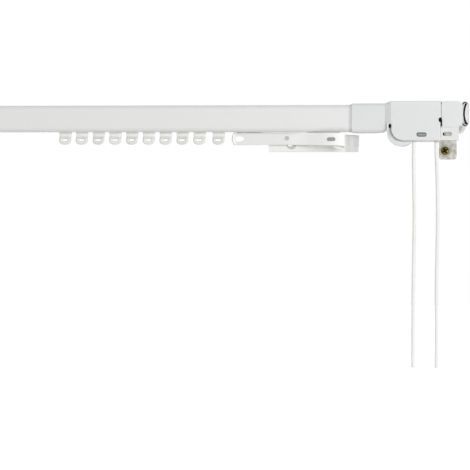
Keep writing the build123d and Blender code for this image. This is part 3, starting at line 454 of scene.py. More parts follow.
@dataclass(frozen=True)
class Finish(Coating):
    """A real surface finish and the grain that it shows, with painted shade past one X where that is set."""

    name: str
    colour: str
    tint: str                   # second colour of the slow mottling
    roughness: float
    metallic: float = 0.0
    ior: float = 1.5
    coat: float = 0.0
    coat_roughness: float = 0.12
    grain_mm: float = 1.2       # size of the surface's waves
    relief_mm: float = 0.004    # their height
    mottle_mm: float = 60.0
    shine_spread: float = 0.05  # how much the roughness wanders
    glow_through: float = 0.0   # share of the light that wanders through the skin of a plastic
    painted_shade_from: float | None = None      # X past which shade is painted
    painted_shade_fade: tuple[float, float] = (-1.5, 1.0)    # where the painted shade fades in, from there
    shade_colour: str = ""              # colour of the painted shade
    streaks_per_metre: float = 700.0    # streaks across the painted shade

    def painted_shade_past(self, tree: bpy.types.NodeTree, where: bpy.types.NodeSocket,
                colour: bpy.types.NodeSocket) -> bpy.types.NodeSocket:
        """Paints a darker, streaky shade past one X.

        Args:
            tree: the material's node tree.
            where: output with the place on the object.
            colour: output with the coat's colour.

        Returns:
            Output with the mixed colour.
        """
        along = add_node(tree, "ShaderNodeSeparateXYZ", None, {"Vector": where})
        past = add_node(tree, "ShaderNodeMapRange", {"From Min": (self.painted_shade_from + self.painted_shade_fade[0]) * MM,
                                                     "From Max": (self.painted_shade_from + self.painted_shade_fade[1]) * MM},
                        {"Value": along.outputs["X"]})
        stretched = add_node(tree, "ShaderNodeVectorMath", {1: (1.0, 0.1, 0.1)}, {0: where},
                             operation="MULTIPLY")
        streaks = add_node(tree, "ShaderNodeTexNoise", {"Scale": self.streaks_per_metre, "Detail": 2.0},
                           {"Vector": stretched.outputs["Vector"]})
        strength = add_node(tree, "ShaderNodeMapRange", {"From Min": 0.3, "From Max": 0.7, "To Min": 0.55},
                            {"Value": streaks.outputs["Fac"]})
        amount = add_node(tree, "ShaderNodeMath", None,
                          {0: past.outputs["Result"], 1: strength.outputs["Result"]}, operation="MULTIPLY")
        return add_node(tree, "ShaderNodeMix", {"B": linear(self.shade_colour)},
                        {"Factor": amount.outputs[0], "A": colour}, data_type="RGBA").outputs[2]

    def build(self) -> bpy.types.Material:
        """Makes the material with mottled colour, wandering gloss and a fine grain.

        Returns:
            The new material.
        """
        material, tree, shader = start_material(self.name, {
            "Metallic": self.metallic, "IOR": self.ior, "Coat Weight": self.coat,
            "Coat Roughness": self.coat_roughness, **wandering(self.glow_through)})
        where = add_node(tree, "ShaderNodeTexCoord").outputs["Object"]
        slow = add_node(tree, "ShaderNodeTexNoise", {"Scale": 1000.0 / self.mottle_mm, "Detail": 3.0},
                        {"Vector": where})
        colour = add_node(tree, "ShaderNodeMix", {"A": linear(self.colour), "B": linear(self.tint)},
                          {"Factor": slow.outputs["Fac"]}, data_type="RGBA").outputs[2]
        if self.painted_shade_from is not None:
            colour = self.painted_shade_past(tree, where, colour)
        gloss = add_node(tree, "ShaderNodeMapRange", {"To Min": self.roughness - self.shine_spread,
                                                      "To Max": self.roughness + self.shine_spread},
                         {"Value": slow.outputs["Fac"]})
        tree.links.new(gloss.outputs["Result"], shader.inputs["Roughness"])
        fine = add_node(tree, "ShaderNodeTexNoise", {"Scale": 1000.0 / self.grain_mm, "Detail": 2.0},
                        {"Vector": where})
        join_skin(tree, shader, colour, fine.outputs["Fac"], self.relief_mm)
        return material


@dataclass(frozen=True)
class WornPaint(Coating):
    """A finish whose colour goes from one to another by the mesh's own point attribute."""

    name: str
    plain: str
    tint: str                   # second colour of the plain part's mottling
    mark: str                   # colour where the attribute is 1
    attribute: str
    roughness: float
    metallic: float = 0.0
    mottle_mm: float = 2.0
    relief_mm: float = 0.01

    def build(self) -> bpy.types.Material:
        """Makes the material with a mottled ground and the marked colour over it.

        Returns:
            The new material.
        """
        material, tree, shader = start_material(self.name, {"Metallic": self.metallic,
                                                            "Roughness": self.roughness})
        where = add_node(tree, "ShaderNodeTexCoord").outputs["Object"]
        slow = add_node(tree, "ShaderNodeTexNoise", {"Scale": 1000.0 / self.mottle_mm, "Detail": 3.0},
                        {"Vector": where})
        ground = add_node(tree, "ShaderNodeMix", {"A": linear(self.plain), "B": linear(self.tint)},
                          {"Factor": slow.outputs["Fac"]}, data_type="RGBA")
        amount = add_node(tree, "ShaderNodeAttribute", attribute_name=self.attribute)
        colour = add_node(tree, "ShaderNodeMix", {"B": linear(self.mark)},
                          {"Factor": amount.outputs["Fac"], "A": ground.outputs[2]}, data_type="RGBA")
        join_skin(tree, shader, colour.outputs[2], slow.outputs["Fac"], self.relief_mm)
        return material


# White stove enamel on rolled steel: even, softly shiny, with a little orange peel.
STOVE_ENAMEL = Finish("stove_enamel_white", "EBEBEB", "E9E9E9", 0.34, coat=0.15, grain_mm=1.6,
                      relief_mm=0.012)
# The rear master's plate is enamelled flatter and a little greyer than the rod, with streaky painted shade
# past its bend.
MASTER_ENAMEL = Finish("flat_stove_enamel_rear_master", "F6F6F4", "F0F0EE", 0.6, grain_mm=1.4,
                       relief_mm=0.012, mottle_mm=4.0, painted_shade_from=-104.0, shade_colour="D2D2D1")
# The plate behind the skirt's slot: the same thin, warm grey coat as on the wall plate.
SLOT_ENAMEL = Finish("dipped_enamel_slot_plate", "C6C1B8", "B9B4AA", 0.5, grain_mm=1.0, relief_mm=0.012,
                     mottle_mm=3.0)
# Moulded ABS of the housings: satin, its spark-eroded texture drawn coarser than it is so that it shows.
MOULDED_ABS = Finish("moulded_abs_white", "E3E4E5", "E1E2E3", 0.40, ior=1.53, grain_mm=0.7, relief_mm=0.008,
                     glow_through=0.4)
# Moulded nylon of the sliders: a little warmer and duller than the housings.
MOULDED_NYLON = Finish("moulded_nylon_ivory", "F4F4F0", "EEEEE8", 0.46, ior=1.53, grain_mm=0.8,
                       relief_mm=0.010, mottle_mm=14.0)
# Acetal of the pulleys: waxy.
ACETAL = Finish("acetal_pulley", "DCDBD4", "D6D5CC", 0.36, ior=1.48, grain_mm=0.9, relief_mm=0.006,
                mottle_mm=10.0)
# Zinc plated steel of pins and lock screws: grey metal with a soft shine.
ZINC_STEEL = Finish("zinc_plated_steel", "B9BABC", "A7A9AC", 0.32, metallic=1.0, grain_mm=0.5,
                    relief_mm=0.006, mottle_mm=2.5)
# Tumbled aluminium rivets: paler grey, their shine broken by small dents.
RIVET_ALUMINIUM = Finish("aluminium_rivet", "C6C7C8", "B5B6B8", 0.40, metallic=1.0, grain_mm=0.4,
                         relief_mm=0.008, mottle_mm=1.8)
# Oxidised rivets of the masters: dull, darker than the strip.
DULL_RIVET = Finish("oxidised_rivet", "C9CACB", "B4B5B7", 0.6, grain_mm=0.4, relief_mm=0.01, mottle_mm=1.5)
# The rear master's eyelet: a grey ring of painted shade for its rim, on the white plate.
EYELET_PAINTED_SHADE = Finish("eyelet_painted_shade_grey", "CDCDCB", "BEBEBC", 0.5, grain_mm=0.6, relief_mm=0.01,
                      mottle_mm=2.5)
# Blackened spring steel of the clip behind the window: dark and soft.
SPRING_STEEL = Finish("blackened_spring_steel", "4A524D", "6A736D", 0.45, metallic=0.3, grain_mm=0.6,
                      relief_mm=0.012, mottle_mm=3.0)
# Black painted shade by the corner, in the arm's mouth and over the guard, where nearly no light comes back.
BLACK_PAINTED_SHADE = Finish("black_painted_shade", "060607", "0E0F10", 0.6, ior=1.18, grain_mm=0.6,
                     relief_mm=0.010, mottle_mm=2.0)
# Grey painted shade seen in the front strip's slot.
SLOT_PAINTED_SHADE = Finish("grey_slot_painted_shade", "A3A5A6", "989A9C", 0.55, grain_mm=0.8, relief_mm=0.01,
                    mottle_mm=2.5)
# Brass plated screw, tarnished olive, with its cross painted near black.
SCREW_BRASS = WornPaint("tarnished_brass_plate_screw", "8A7A3C", "3B331A", "040403", "recess", 0.36,
                        metallic=0.85, mottle_mm=1.6)
# The front master's strip: painted light makes it brighter where it bows out to the front and at its left
# end.
STRIP_ENAMEL = WornPaint("stove_enamel_front_strip_painted_light", "ECECEB", "E8E8E7", "FFFFFF", "coat", 0.34,
                         mottle_mm=6.0, relief_mm=0.008)
# Its rim: bright enamel, with grey painted shade along the outer side.
RIM_ENAMEL = WornPaint("enamel_strip_rim_painted_shade", "FAFAF9", "F4F4F3", "8E8F8E", "painted_rim_shade", 0.38)
# Nylon of the gliders, with painted shade on the eye and its upper rim.
GLIDER_NYLON = WornPaint("hook_rubbed_nylon_gliders", "F9F9F6", "F4F4F0", "BEBFBD", "painted_eye_shade", 0.46,
                         mottle_mm=5.0, relief_mm=0.008)
# Blackened clip in the window: painted shade at its edges and a painted highlight on its raised middle.
CLIP_STEEL = WornPaint("clip_steel_painted_light_and_shade", "97A09C", "8A938F", "3E4844", "painted_edge_shade", 0.5, metallic=0.1,
                       mottle_mm=3.0)


@dataclass(frozen=True)
class DishedPlate(Coating):
    """Dipped enamel of the wall plate: blotchy grey, with a ring of painted shade round the dish pressed for
    each screw.
    """

    name: str = "dipped_enamel_wall_plate"
    light: str = "D9D7D1"
    dark: str = "A6A498"
    roughness: float = 0.44
    blotch_mm: float = 5.0
    dish_mm: float = 6.0        # radius of the pressed dish
    ring_mm: float = 0.75       # half the width of the painted shade ring at its edge
    relief_mm: float = 0.03
    screw_z_mm: float = 15.0

    def build(self) -> bpy.types.Material:
        """Makes the material; the ring of painted shade is where the distance to the nearest screw is the
        dish's radius.

        Returns:
            The new material.
        """
        material, tree, shader = start_material(self.name, {"Roughness": self.roughness})
        where = add_node(tree, "ShaderNodeTexCoord").outputs["Object"]
        blotch = add_node(tree, "ShaderNodeTexNoise", {"Scale": 1000.0 / self.blotch_mm, "Detail": 4.0},
                          {"Vector": where})
        parts = add_node(tree, "ShaderNodeSeparateXYZ", None, {"Vector": where})
        # Both plates are folded onto one, and each plate onto its upper half.
        middle = LEFT_ORIGIN * MM / 2
        shifted = add_node(tree, "ShaderNodeMath", {1: middle}, {0: parts.outputs["X"]},
                           operation="SUBTRACT")
        folded = add_node(tree, "ShaderNodeMath", None, {0: shifted.outputs[0]}, operation="ABSOLUTE")
        across = add_node(tree, "ShaderNodeMath", {1: middle}, {0: folded.outputs[0]}, operation="ADD")
        height = add_node(tree, "ShaderNodeMath", None, {0: parts.outputs["Z"]}, operation="ABSOLUTE")
        above = add_node(tree, "ShaderNodeMath", {1: self.screw_z_mm * MM}, {0: height.outputs[0]},
                         operation="SUBTRACT")
        flat = add_node(tree, "ShaderNodeCombineXYZ", None, {"X": across.outputs[0], "Y": above.outputs[0]})
        away = add_node(tree, "ShaderNodeVectorMath", None, {0: flat.outputs[0]}, operation="LENGTH")
        off_ring = add_node(tree, "ShaderNodeMath", {1: self.dish_mm * MM}, {0: away.outputs["Value"]},
                            operation="SUBTRACT")
        ring = add_node(tree, "ShaderNodeMath", None, {0: off_ring.outputs[0]}, operation="ABSOLUTE")
        shade = add_node(tree, "ShaderNodeMapRange",
                         {"From Max": self.ring_mm * MM, "To Min": 1.0, "To Max": 0.0},
                         {"Value": ring.outputs[0]})
        spread = add_node(tree, "ShaderNodeMapRange", {"From Min": 0.35, "From Max": 0.65},
                          {"Value": blotch.outputs["Fac"]})
        mixed = add_node(tree, "ShaderNodeMath", None,
                         {0: spread.outputs["Result"], 1: shade.outputs["Result"]},
                         operation="ADD", use_clamp=True)
        colour = add_node(tree, "ShaderNodeMix", {"A": linear(self.light), "B": linear(self.dark)},
                          {"Factor": mixed.outputs[0]}, data_type="RGBA")
        join_skin(tree, shader, colour.outputs[2], blotch.outputs["Fac"], self.relief_mm, 0.6)
        return material


@dataclass(frozen=True)
class BraidedCord(Coating):
    """Braided polyester cord: two sets of strands that cross, in real millimetres."""

    name: str = "braided_polyester_cord"
    light: str = "FDFDFA"
    shade: str = "F1F0EB"
    roughness: float = 0.72
    sheen: float = 0.25
    glow_through: float = 0.6   # share of the light that wanders through the fibres
    glow_mm: float = 2.0
    strands: float = 8.0
    lay_mm: float = 7.0         # length in which a strand goes once round
    relief_mm: float = 0.12

    def build(self) -> bpy.types.Material:
        """Makes the material; its height is sin(s pi (u + v)) sin(s pi (u - v)), u and v in turns.

        Returns:
            The new material.
        """
        material, tree, shader = start_material(self.name, {
            "Roughness": self.roughness, "Sheen Weight": self.sheen,
            **wandering(self.glow_through, self.glow_mm)})
        uv = add_node(tree, "ShaderNodeTexCoord").outputs["UV"]
        parts = add_node(tree, "ShaderNodeSeparateXYZ", None, {"Vector": uv})
        turns = add_node(tree, "ShaderNodeMath", {1: 1000.0 / self.lay_mm}, {0: parts.outputs["Y"]},
                         operation="MULTIPLY")
        waves = []
        for sign in ("ADD", "SUBTRACT"):
            phase = add_node(tree, "ShaderNodeMath", None, {0: parts.outputs["X"], 1: turns.outputs[0]},
                             operation=sign)
            angle = add_node(tree, "ShaderNodeMath", {1: math.pi * self.strands}, {0: phase.outputs[0]},
                             operation="MULTIPLY")
            waves.append(add_node(tree, "ShaderNodeMath", None, {0: angle.outputs[0]}, operation="SINE"))
        product = add_node(tree, "ShaderNodeMath", None, {0: waves[0].outputs[0], 1: waves[1].outputs[0]},
                           operation="MULTIPLY")
        height = add_node(tree, "ShaderNodeMapRange", {"From Min": -1.0, "From Max": 1.0},
                          {"Value": product.outputs[0]})
        colour = add_node(tree, "ShaderNodeMix", {"A": linear(self.shade), "B": linear(self.light)},
                          {"Factor": height.outputs["Result"]}, data_type="RGBA")
        join_skin(tree, shader, colour.outputs[2], height.outputs["Result"], self.relief_mm, 0.6)
        return material


def dress(frame: dict, finish: Coating, *names: str) -> None:
    """Gives CAD nodes a finish.

    Args:
        finish: the finish.
        *names: node names.
    """
    for name in names:
        mesh = frame["nodes"][name].data
        mesh.materials.clear()
        mesh.materials.append(finish.material())


def fitted(piece: bpy.types.Object, finish: Coating, body: str, slot: str, *nodes: str) -> bpy.types.Object:
    """Gives a new piece its finish and its body, and hides the CAD nodes that it replaces.

    Args:
        piece: the piece.
        finish: its finish.
        body: the CAD body that it moves with.
        slot: the record's material slot; not used.
        *nodes: CAD nodes that it replaces.

    Returns:
        The piece.
    """
    piece.data.materials.clear()
    piece.data.materials.append(finish.material())
    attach(piece, body)
    if nodes:
        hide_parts(*nodes)
    return piece


# Sub-assemblies

class Side(Enum):
    """The rod's two ends."""

    RIGHT = "right"
    LEFT = "left"

    def of(self, part: str) -> str:
        """Returns the name of a part or body at this end."""
        return f"{self.value}_{part}"


@dataclass
class TailRoute:
    """One hanging cord: where it leaves the housing and its corners from there."""

    name: str
    node: str
    exit_x: float
    corners: tuple[tuple[float, float], ...]
    length: float

    def control_points(self) -> np.ndarray:
        """Returns the route's corners in the row frame, in metres."""
        return upright(np.array(self.corners) + np.array([self.exit_x, HOUSING_BOTTOM_Z]), CORD_Y) * MM

    def centre_line(self) -> np.ndarray:
        """Reads the smooth spline that has the corners as control points.

        Returns:
            Its points, n by 3, in metres.
        """
        curve = bpy.data.curves.new(self.name + "_route", "CURVE")
        curve.dimensions = "3D"
        spline = curve.splines.new("NURBS")
        points = self.control_points()
        spline.points.add(len(points) - 1)
        spline.points.foreach_set("co", np.column_stack([points, np.ones(len(points))]).ravel())
        spline.order_u = 3
        spline.use_endpoint_u = True
        spline.resolution_u = 24
        carrier = bpy.data.objects.new(self.name + "_route", curve)
        bpy.context.scene.collection.objects.link(carrier)
        bpy.context.view_layer.update()
        mesh = bpy.data.meshes.new_from_object(carrier.evaluated_get(bpy.context.evaluated_depsgraph_get()))
        line = np.zeros(len(mesh.vertices) * 3)
        mesh.vertices.foreach_get("co", line)
        bpy.data.objects.remove(carrier)
        bpy.data.curves.remove(curve)
        bpy.data.meshes.remove(mesh)
        return line.reshape(-1, 3)

    def build(self) -> bpy.types.Object:
        """Returns:
            The cord.
        """
        line = self.centre_line()
        cord = flat_tube(self.name, line, CORD_DIAMETER * MM / 2)
        fitted(cord, BraidedCord(), "right_end", "cord", self.node)
        return cord


@dataclass
class DrawCord:
    """The draw cord: two tails, the bends over the pulleys and the runs inside the rod."""

    exits: tuple[float, float] = (-35.8, -13.4)
    run_right: float = -74.8
    run_left: float = -727.8
    lower_z: float = 8.7
    upper_z: float = 19.1
    lower_pitch: float = 11.3
    upper_pitch: float = 9.5
    idler_pitch: float = 5.2
    idler_x: float = -764.6
    tail_length: float = 226.7
    left_corners: tuple[tuple[float, float], ...] = (
        (0.0, 0.0), (0.0, -14.0), (0.4, -38.0), (1.4, -78.0), (0.7, -128.0), (0.5, -178.0), (0.8, -226.7))
    right_corners: tuple[tuple[float, float], ...] = (
        (0.0, 0.0), (0.0, -10.0), (1.1, -30.0), (2.0, -68.0), (1.7, -108.0), (1.0, -150.0), (1.7, -198.0),
        (1.4, -226.7))

    def bend_line(self, run_z: float, pitch: float, exit_x: float) -> np.ndarray:
        """Run, quarter turn over a pulley and drop to the exit.

        Args:
            run_z: height of the run.
            pitch: radius of the turn.
            exit_x: where it leaves.

        Returns:
            Points in metres.
        """
        arc = np.array([exit_x - pitch, run_z - pitch]) + pitch * circle(np.linspace(np.pi / 2, 0.0, 24))
        line = np.vstack([[self.run_right, run_z], arc, [exit_x, HOUSING_BOTTOM_Z]])
        return upright(line, CORD_Y) * MM

    def idler_line(self) -> np.ndarray:
        """The upper run's end, a half turn round the idler and the lower run's end.

        Returns:
            Points in metres.
        """
        middle = np.array([self.idler_x, (self.upper_z + self.lower_z) / 2])
        arc = middle + self.idler_pitch * circle(np.linspace(np.pi / 2, 3 * np.pi / 2, 32))
        line = np.vstack([[self.run_left, self.upper_z], arc, [self.run_left, self.lower_z]])
        return upright(line, CORD_Y) * MM

    def build(self) -> list[bpy.types.Object]:
        """Makes every length of the cord as a braided tube.

        Returns:
            The cord's pieces.
        """
        left, right = self.exits
        radius = CORD_DIAMETER * MM / 2
        tails = (("left", left, self.left_corners), ("right", right, self.right_corners))
        made = [TailRoute(f"hanging_cord_{side}", f"cord_tail_{side}", exit_x, corners,
                          self.tail_length).build() for side, exit_x, corners in tails]
        for name, node, line, body in (
                ("cord_over_lower_pulley", "draw_cord_lower_bend",
                 self.bend_line(self.lower_z, self.lower_pitch, left), "right_end"),
                ("cord_over_upper_pulley", "draw_cord_upper_bend",
                 self.bend_line(self.upper_z, self.upper_pitch, right), "right_end"),
                ("cord_round_idler", "draw_cord_idler_bend", self.idler_line(), "left_end")):
            made.append(fitted(flat_tube(name, line, radius), BraidedCord(), body, "cord", node))
        for name, node, height in (("cord_lower_run", "draw_cord_lower_run", self.lower_z),
                                   ("cord_upper_run", "draw_cord_upper_run", self.upper_z)):
            x = np.linspace(self.run_right, self.run_left, 160)
            line = upright(np.column_stack([x, np.full(len(x), height)]), CORD_Y) * MM
            piece = flat_tube(name, line, radius)
            piece.data.materials.append(BraidedCord().material())
            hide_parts(node)
            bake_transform(piece)
            made.append(piece)
        return made


@dataclass
class WallScrews:
    """The two wall screws of one end: raised heads with a cross, shanks and rolled threads."""

    side: Side
    spacing: float = 30.0
    head: float = 4.7           # radius of the flange
    rim_y: float = -1.25
    rim_edge: float = 0.18
    dome: float = 1.3
    dome_power: float = 2.5
    neck: float = 0.15          # how much wider the shank starts
    neck_y: float = -0.3
    shank: float = 2.1
    length: float = 24.0
    taper: float = 5.0
    point: float = 0.4
    cross_half_length: float = 3.1
    cross_half_width: float = 0.85
    cross_end: float = 0.5      # width of the soft edge at a bar's end
    cross_edge: float = 0.22    # and along its sides
    cross_depth: float = 1.5
    cross_turn: float = 30.0
    crest: float = 0.45         # height of the thread, and half its foot
    root: float = 0.1           # how far its foot sinks into the shank
    pitch: float = 1.8
    first: float = 3.5
    last: float = 18.5

    @property
    def origin_x(self) -> float:
        """X of the screws."""
        return 0.0 if self.side is Side.RIGHT else LEFT_ORIGIN

    def cross(self, x: np.ndarray, z: np.ndarray) -> np.ndarray:
        """The cross as the larger of two soft-edged bars.

        Args:
            x: places across the head.
            z: places up the head.

        Returns:
            How deep the cross is at each point, from 0 to 1.
        """
        turn = math.radians(self.cross_turn)
        u, w = x * math.cos(turn) + z * math.sin(turn), z * math.cos(turn) - x * math.sin(turn)
        bars = [smooth_step((self.cross_half_width - abs(b)) / self.cross_edge + 0.5)
                * smooth_step((self.cross_half_length - abs(a)) / self.cross_end + 0.5)
                for a, b in ((u, w), (w, u))]
        return np.maximum(*bars)

    def body(self, z: float) -> tuple[np.ndarray, np.ndarray]:
        """Rings of one screw from the middle of its head to its point, and how deep the cross is.

        The head is y = rim - dome * (1 - (r / R)^2.5) + depth * cross(x, z) on a polar grid, and the rest
        is the shank's profile turned about Y.

        Args:
            z: height of the screw.

        Returns:
            Rings, rows by columns by 3, and the depth of the cross at each point.
        """
        angle = full_turn(120)
        r = np.concatenate([[0.02], np.linspace(0.1, self.head, 46)])[:, None]
        x, up = r * np.cos(angle), r * np.sin(angle)
        mask = self.cross(x, up)
        y = self.rim_y - self.dome * (1 - (r / self.head) ** self.dome_power) + self.cross_depth * mask
        profile = np.array([[self.head, self.rim_y + self.rim_edge], [self.shank + self.neck, self.neck_y],
                            [self.shank, 0.0], [self.shank, self.length - self.taper],
                            [self.point, self.length]])
        rest = np.stack([profile[:, :1] * np.cos(angle), np.repeat(profile[:, 1:], len(angle), 1),
                         profile[:, :1] * np.sin(angle)], -1)
        rings = np.vstack([np.stack([x, y, up], -1), rest]) + np.array([self.origin_x, 0.0, z])
        return rings, np.concatenate([mask.ravel(), np.zeros(rest.shape[0] * len(angle))])

    def ridge(self, z: float) -> np.ndarray:
        """A three-cornered ridge carried along a helix round the shank.

        A point is (r cos a, y + pitch * a / 2 pi, r sin a), with r and y from the ridge's section, and
        the crest fades in and out over half a turn at the two ends.

        Args:
            z: height of the screw.

        Returns:
            Rings, rows by columns by 3.
        """
        turns = (self.last - self.first) / self.pitch
        a = np.linspace(0.0, 2.0 * np.pi * turns, int(turns * 28))
        fade = np.clip(np.minimum(a, a[-1] - a) / np.pi, 0.05, 1.0)
        foot = np.full_like(a, self.shank - self.root)
        radius = np.stack([foot, self.shank + self.crest * fade, foot], 1)
        shift = np.array([-self.crest, 0.0, self.crest]) * fade[:, None]
        a = a[:, None]
        y = self.first + self.pitch * a / (2 * np.pi) + shift
        return np.stack([self.origin_x + radius * np.cos(a), y, z + radius * np.sin(a)], -1)

    def build(self) -> bpy.types.Object:
        """Makes both screws as one piece.

        Returns:
            The piece.
        """
        rings, marks = [], []
        for z in (-self.spacing / 2, self.spacing / 2):
            body, depth = self.body(z)
            ridge = self.ridge(z)
            rings += [body, ridge]
            marks += [depth, np.zeros(ridge.shape[0] * ridge.shape[1])]
        piece = lofted(self.side.of("wall_screw_pair"), *rings, sharp_degrees=50.0,
                       marks={"recess": np.concatenate(marks)})
        return fitted(piece, SCREW_BRASS, self.side.of("bracket"), "brass", self.side.of("wall_screws"))


@dataclass
class CornerDetails:
    """Small pieces between the housing, the corner piece and the return arm: the black ones are painted
    shade, the others pale.

    A middle is X and Z, a size is width and height, and a layer is the front and the back depth.
    """

    side: Side
    button_middle: tuple[float, float] = (-9.95, 8.6)
    button_half: tuple[float, float] = (1.65, 2.35)
    button_layer: tuple[float, float] = (-94.3, -91.9)
    tail_x: float = -8.85
    tail_width: float = 1.3
    tail_bottom: float = 2.0
    tail_layer: tuple[float, float] = (-94.3, -91.1)
    stem_middle: tuple[float, float] = (-8.35, -1.6)
    stem_size: tuple[float, float] = (1.5, 7.0)
    foot_middle: tuple[float, float] = (-7.4, -5.5)
    foot_size: tuple[float, float] = (3.4, 3.2)
    foot_layer: tuple[float, float] = (-90.5, -89.9)
    mouth_shade_middle: tuple[float, float] = (14.2, 15.8)
    mouth_shade_half_height: float = 10.6
    mouth_shade_bow: tuple[float, float] = (2.6, 2.1)       # below and above the middle
    mouth_shade_half_width: float = 0.82
    mouth_shade_swell: tuple[float, float] = (1.0, 0.3)     # below and above
    mouth_shade_tip: float = 0.45                           # share of the width at its two ends
    mouth_shade_layer: tuple[float, float] = (-81.1, -80.75)
    window_middle: tuple[float, float] = (-28.4, -6.1)
    window_size: tuple[float, float] = (9.1, 3.3)
    window_spine: float = 2.9                       # half the straight that the dome rises to
    window_front: float = -93.5
    window_dome: float = 0.3
    window_proud: float = 0.02                      # the dome's edge in front of that
    window_sink: float = 0.2                        # its back behind it
    window_rings: tuple[float, ...] = (0.0, 0.08, 0.2, 0.35, 0.5, 0.7, 0.88, 0.98)
    window_fade: tuple[float, float] = (0.1, 0.45)  # painted edge shade: where it starts to fade, over how much
    slot_middle: tuple[float, float] = (-0.6, -5.4)
    slot_size: tuple[float, float] = (7.6, 5.0)
    slot_layer: tuple[float, float] = (-90.3, -89.7)
    thin_corner: float = 0.3                        # corner radii of tail and stem
    soft_corner: float = 1.0                        # of foot and guard shade
    slot_corner: float = 0.6
    window_corner: float = 1.64
    guard_middle: tuple[float, float] = (-47.1, -2.6)
    guard_radius: float = 14.95
    guard_rise: float = 8.6
    guard_half_width: tuple[float, float] = (0.35, 0.8)     # at the arc's end and at the top
    guard_inward: float = 2.1                       # how much further it reaches inwards low down
    guard_front: tuple[float, float] = (-90.6, -94.8)       # low down and at the top
    guard_thick: float = 2.4
    guard_turn: float = 1.55                        # where the arc starts, in half turns
    guard_widen: float = 1.6                        # widest after 1 over this share of its length
    guard_tip: tuple[float, float, float] = (1.04, 0.1, 0.4)    # its top: end, length, least share
    guard_reach: tuple[float, float, float] = (0.62, 0.25, 0.2)     # inward part: end, fall, rise
    guard_step: tuple[float, float] = (0.45, 0.3)   # where its front steps forward, over how much
    guard_ridge: float = 0.2                        # the crease along its front
    guard_shade_middle: tuple[float, float] = (-59.7, 2.6)
    guard_shade_size: tuple[float, float] = (2.5, 3.7)
    guard_shade_layer: tuple[float, float] = (-94.4, -92.0)

    def placed(self, rings: np.ndarray) -> np.ndarray:
        """Mirrors rings of the right end where this is the left one.

        Args:
            rings: points with the last axis X, Y, Z.

        Returns:
            The rings in their place.
        """
        if self.side is Side.LEFT:
            rings = rings * np.array([-1.0, 1.0, 1.0]) + np.array([LEFT_ORIGIN, 0.0, 0.0])
        return rings

    def prism(self, outline: np.ndarray, layer: tuple[float, float], ease: float = 0.12) -> np.ndarray:
        """Rings of a flat piece with eased front and back edges.

        Args:
            outline: points in X and Z, n by 2.
            layer: its front and back depth.
            ease: how much the edges draw in.

        Returns:
            Rings, 4 by n by 3.
        """
        front, back = layer
        centre = outline.mean(0)
        reach = np.linalg.norm(outline - centre, axis=1).mean()
        small = centre + (outline - centre) * (1 - ease / reach)
        layers = ((small, front), (outline, front + ease), (outline, back - ease), (small, back))
        return np.stack([upright(flat, y) for flat, y in layers])

    def made(self, part: str, finish: Coating, slot: str, *rings: np.ndarray, **options: object
             ) -> bpy.types.Object:
        """One detail that rides on its end of the rod.

        Args:
            part: the piece's name after its side.
            finish: its finish.
            slot: its material slot.
            *rings: its lofts at the right end.
            **options: what lofted() takes.

        Returns:
            The piece.
        """
        piece = lofted(self.side.of(part), *map(self.placed, rings), **options)
        return fitted(piece, finish, self.side.of("end"), slot)

    def corner_shade(self) -> bpy.types.Object:
        """Black painted shade by the corner: a round end in the notch, a tail in the gap, a stem and a foot.

        Returns:
            The piece.
        """
        button = np.array(self.button_middle) + np.array(self.button_half) * circle(full_turn(24))
        tail_height = self.button_middle[1] - self.tail_bottom
        tail = round_rectangle(self.tail_width, tail_height, self.thin_corner,
                               middle=(self.tail_x, self.tail_bottom + tail_height / 2))
        stem = round_rectangle(*self.stem_size, self.thin_corner, middle=self.stem_middle)
        foot = round_rectangle(*self.foot_size, self.soft_corner, middle=self.foot_middle)
        return self.made("corner_catch", BLACK_PAINTED_SHADE, "dark_clip", self.prism(button, self.button_layer),
                         self.prism(tail, self.tail_layer, 0.08), self.prism(stem, self.foot_layer),
                         self.prism(foot, self.foot_layer))

    def arm_lip(self) -> bpy.types.Object:
        """Black painted shade in the arm's mouth beside the plug, bowed, thin in its middle and thicker at
        its ends.

        With t = z / h its middle line is x + bow t^2, and its half width is w + swell t^4, bow and swell
        each with one value below the middle and one above.

        Returns:
            The piece.
        """
        x, z = self.mouth_shade_middle
        t = np.linspace(-1.0, 1.0, 41)
        middle = x + np.where(t < 0, *self.mouth_shade_bow) * t ** 2
        width = self.mouth_shade_half_width + np.where(t < 0, *self.mouth_shade_swell) * t ** 4
        width[[0, -1]] *= self.mouth_shade_tip
        height = z + self.mouth_shade_half_height * t
        outline = np.vstack([np.column_stack([middle + width, height]),
                             np.column_stack([middle - width, height])[::-1]])
        rings = np.stack([upright(outline, y) for y in self.mouth_shade_layer])
        return self.made("arm_lip", BLACK_PAINTED_SHADE, "dark_clip", rings)

    def clip_face(self) -> bpy.types.Object:
        """The clip's face in the window: a low dome over a pill outline, with painted shade at its edge and a
        painted highlight in its middle.

        The outline shrinks by a share s towards its spine while the dome rises as d (1 - (1 - s)^2).

        Returns:
            The piece.
        """
        outline = round_rectangle(*self.window_size, self.window_corner, 9)
        spine = np.column_stack([np.clip(outline[:, 0], -self.window_spine, self.window_spine),
                                 np.zeros(len(outline))])
        share = np.array(self.window_rings)
        depth = self.window_front - self.window_proud - self.window_dome * (1 - (1 - share) ** 2)
        rings = [upright(outline + self.window_middle, self.window_front + self.window_sink)]
        rings += [upright(outline + (spine - outline) * s + self.window_middle, y)
                  for s, y in zip(share, depth)]
        start, over = self.window_fade
        painted_edge_shade = 1.0 - smooth_step((np.concatenate([[0.0], share]) - start) / over)
        return self.made("clip_face", CLIP_STEEL, "dark_clip", np.stack(rings), sharp_degrees=60.0,
                         marks={"painted_edge_shade": np.repeat(painted_edge_shade, len(outline))})

    def slot_plate(self) -> bpy.types.Object:
        """Returns the pale plate that shows through the skirt's slot, beside the painted shade's foot."""
        outline = round_rectangle(*self.slot_size, self.slot_corner, middle=self.slot_middle)
        return self.made("slot_plate", SLOT_ENAMEL, "plate_enamel", self.prism(outline, self.slot_layer))

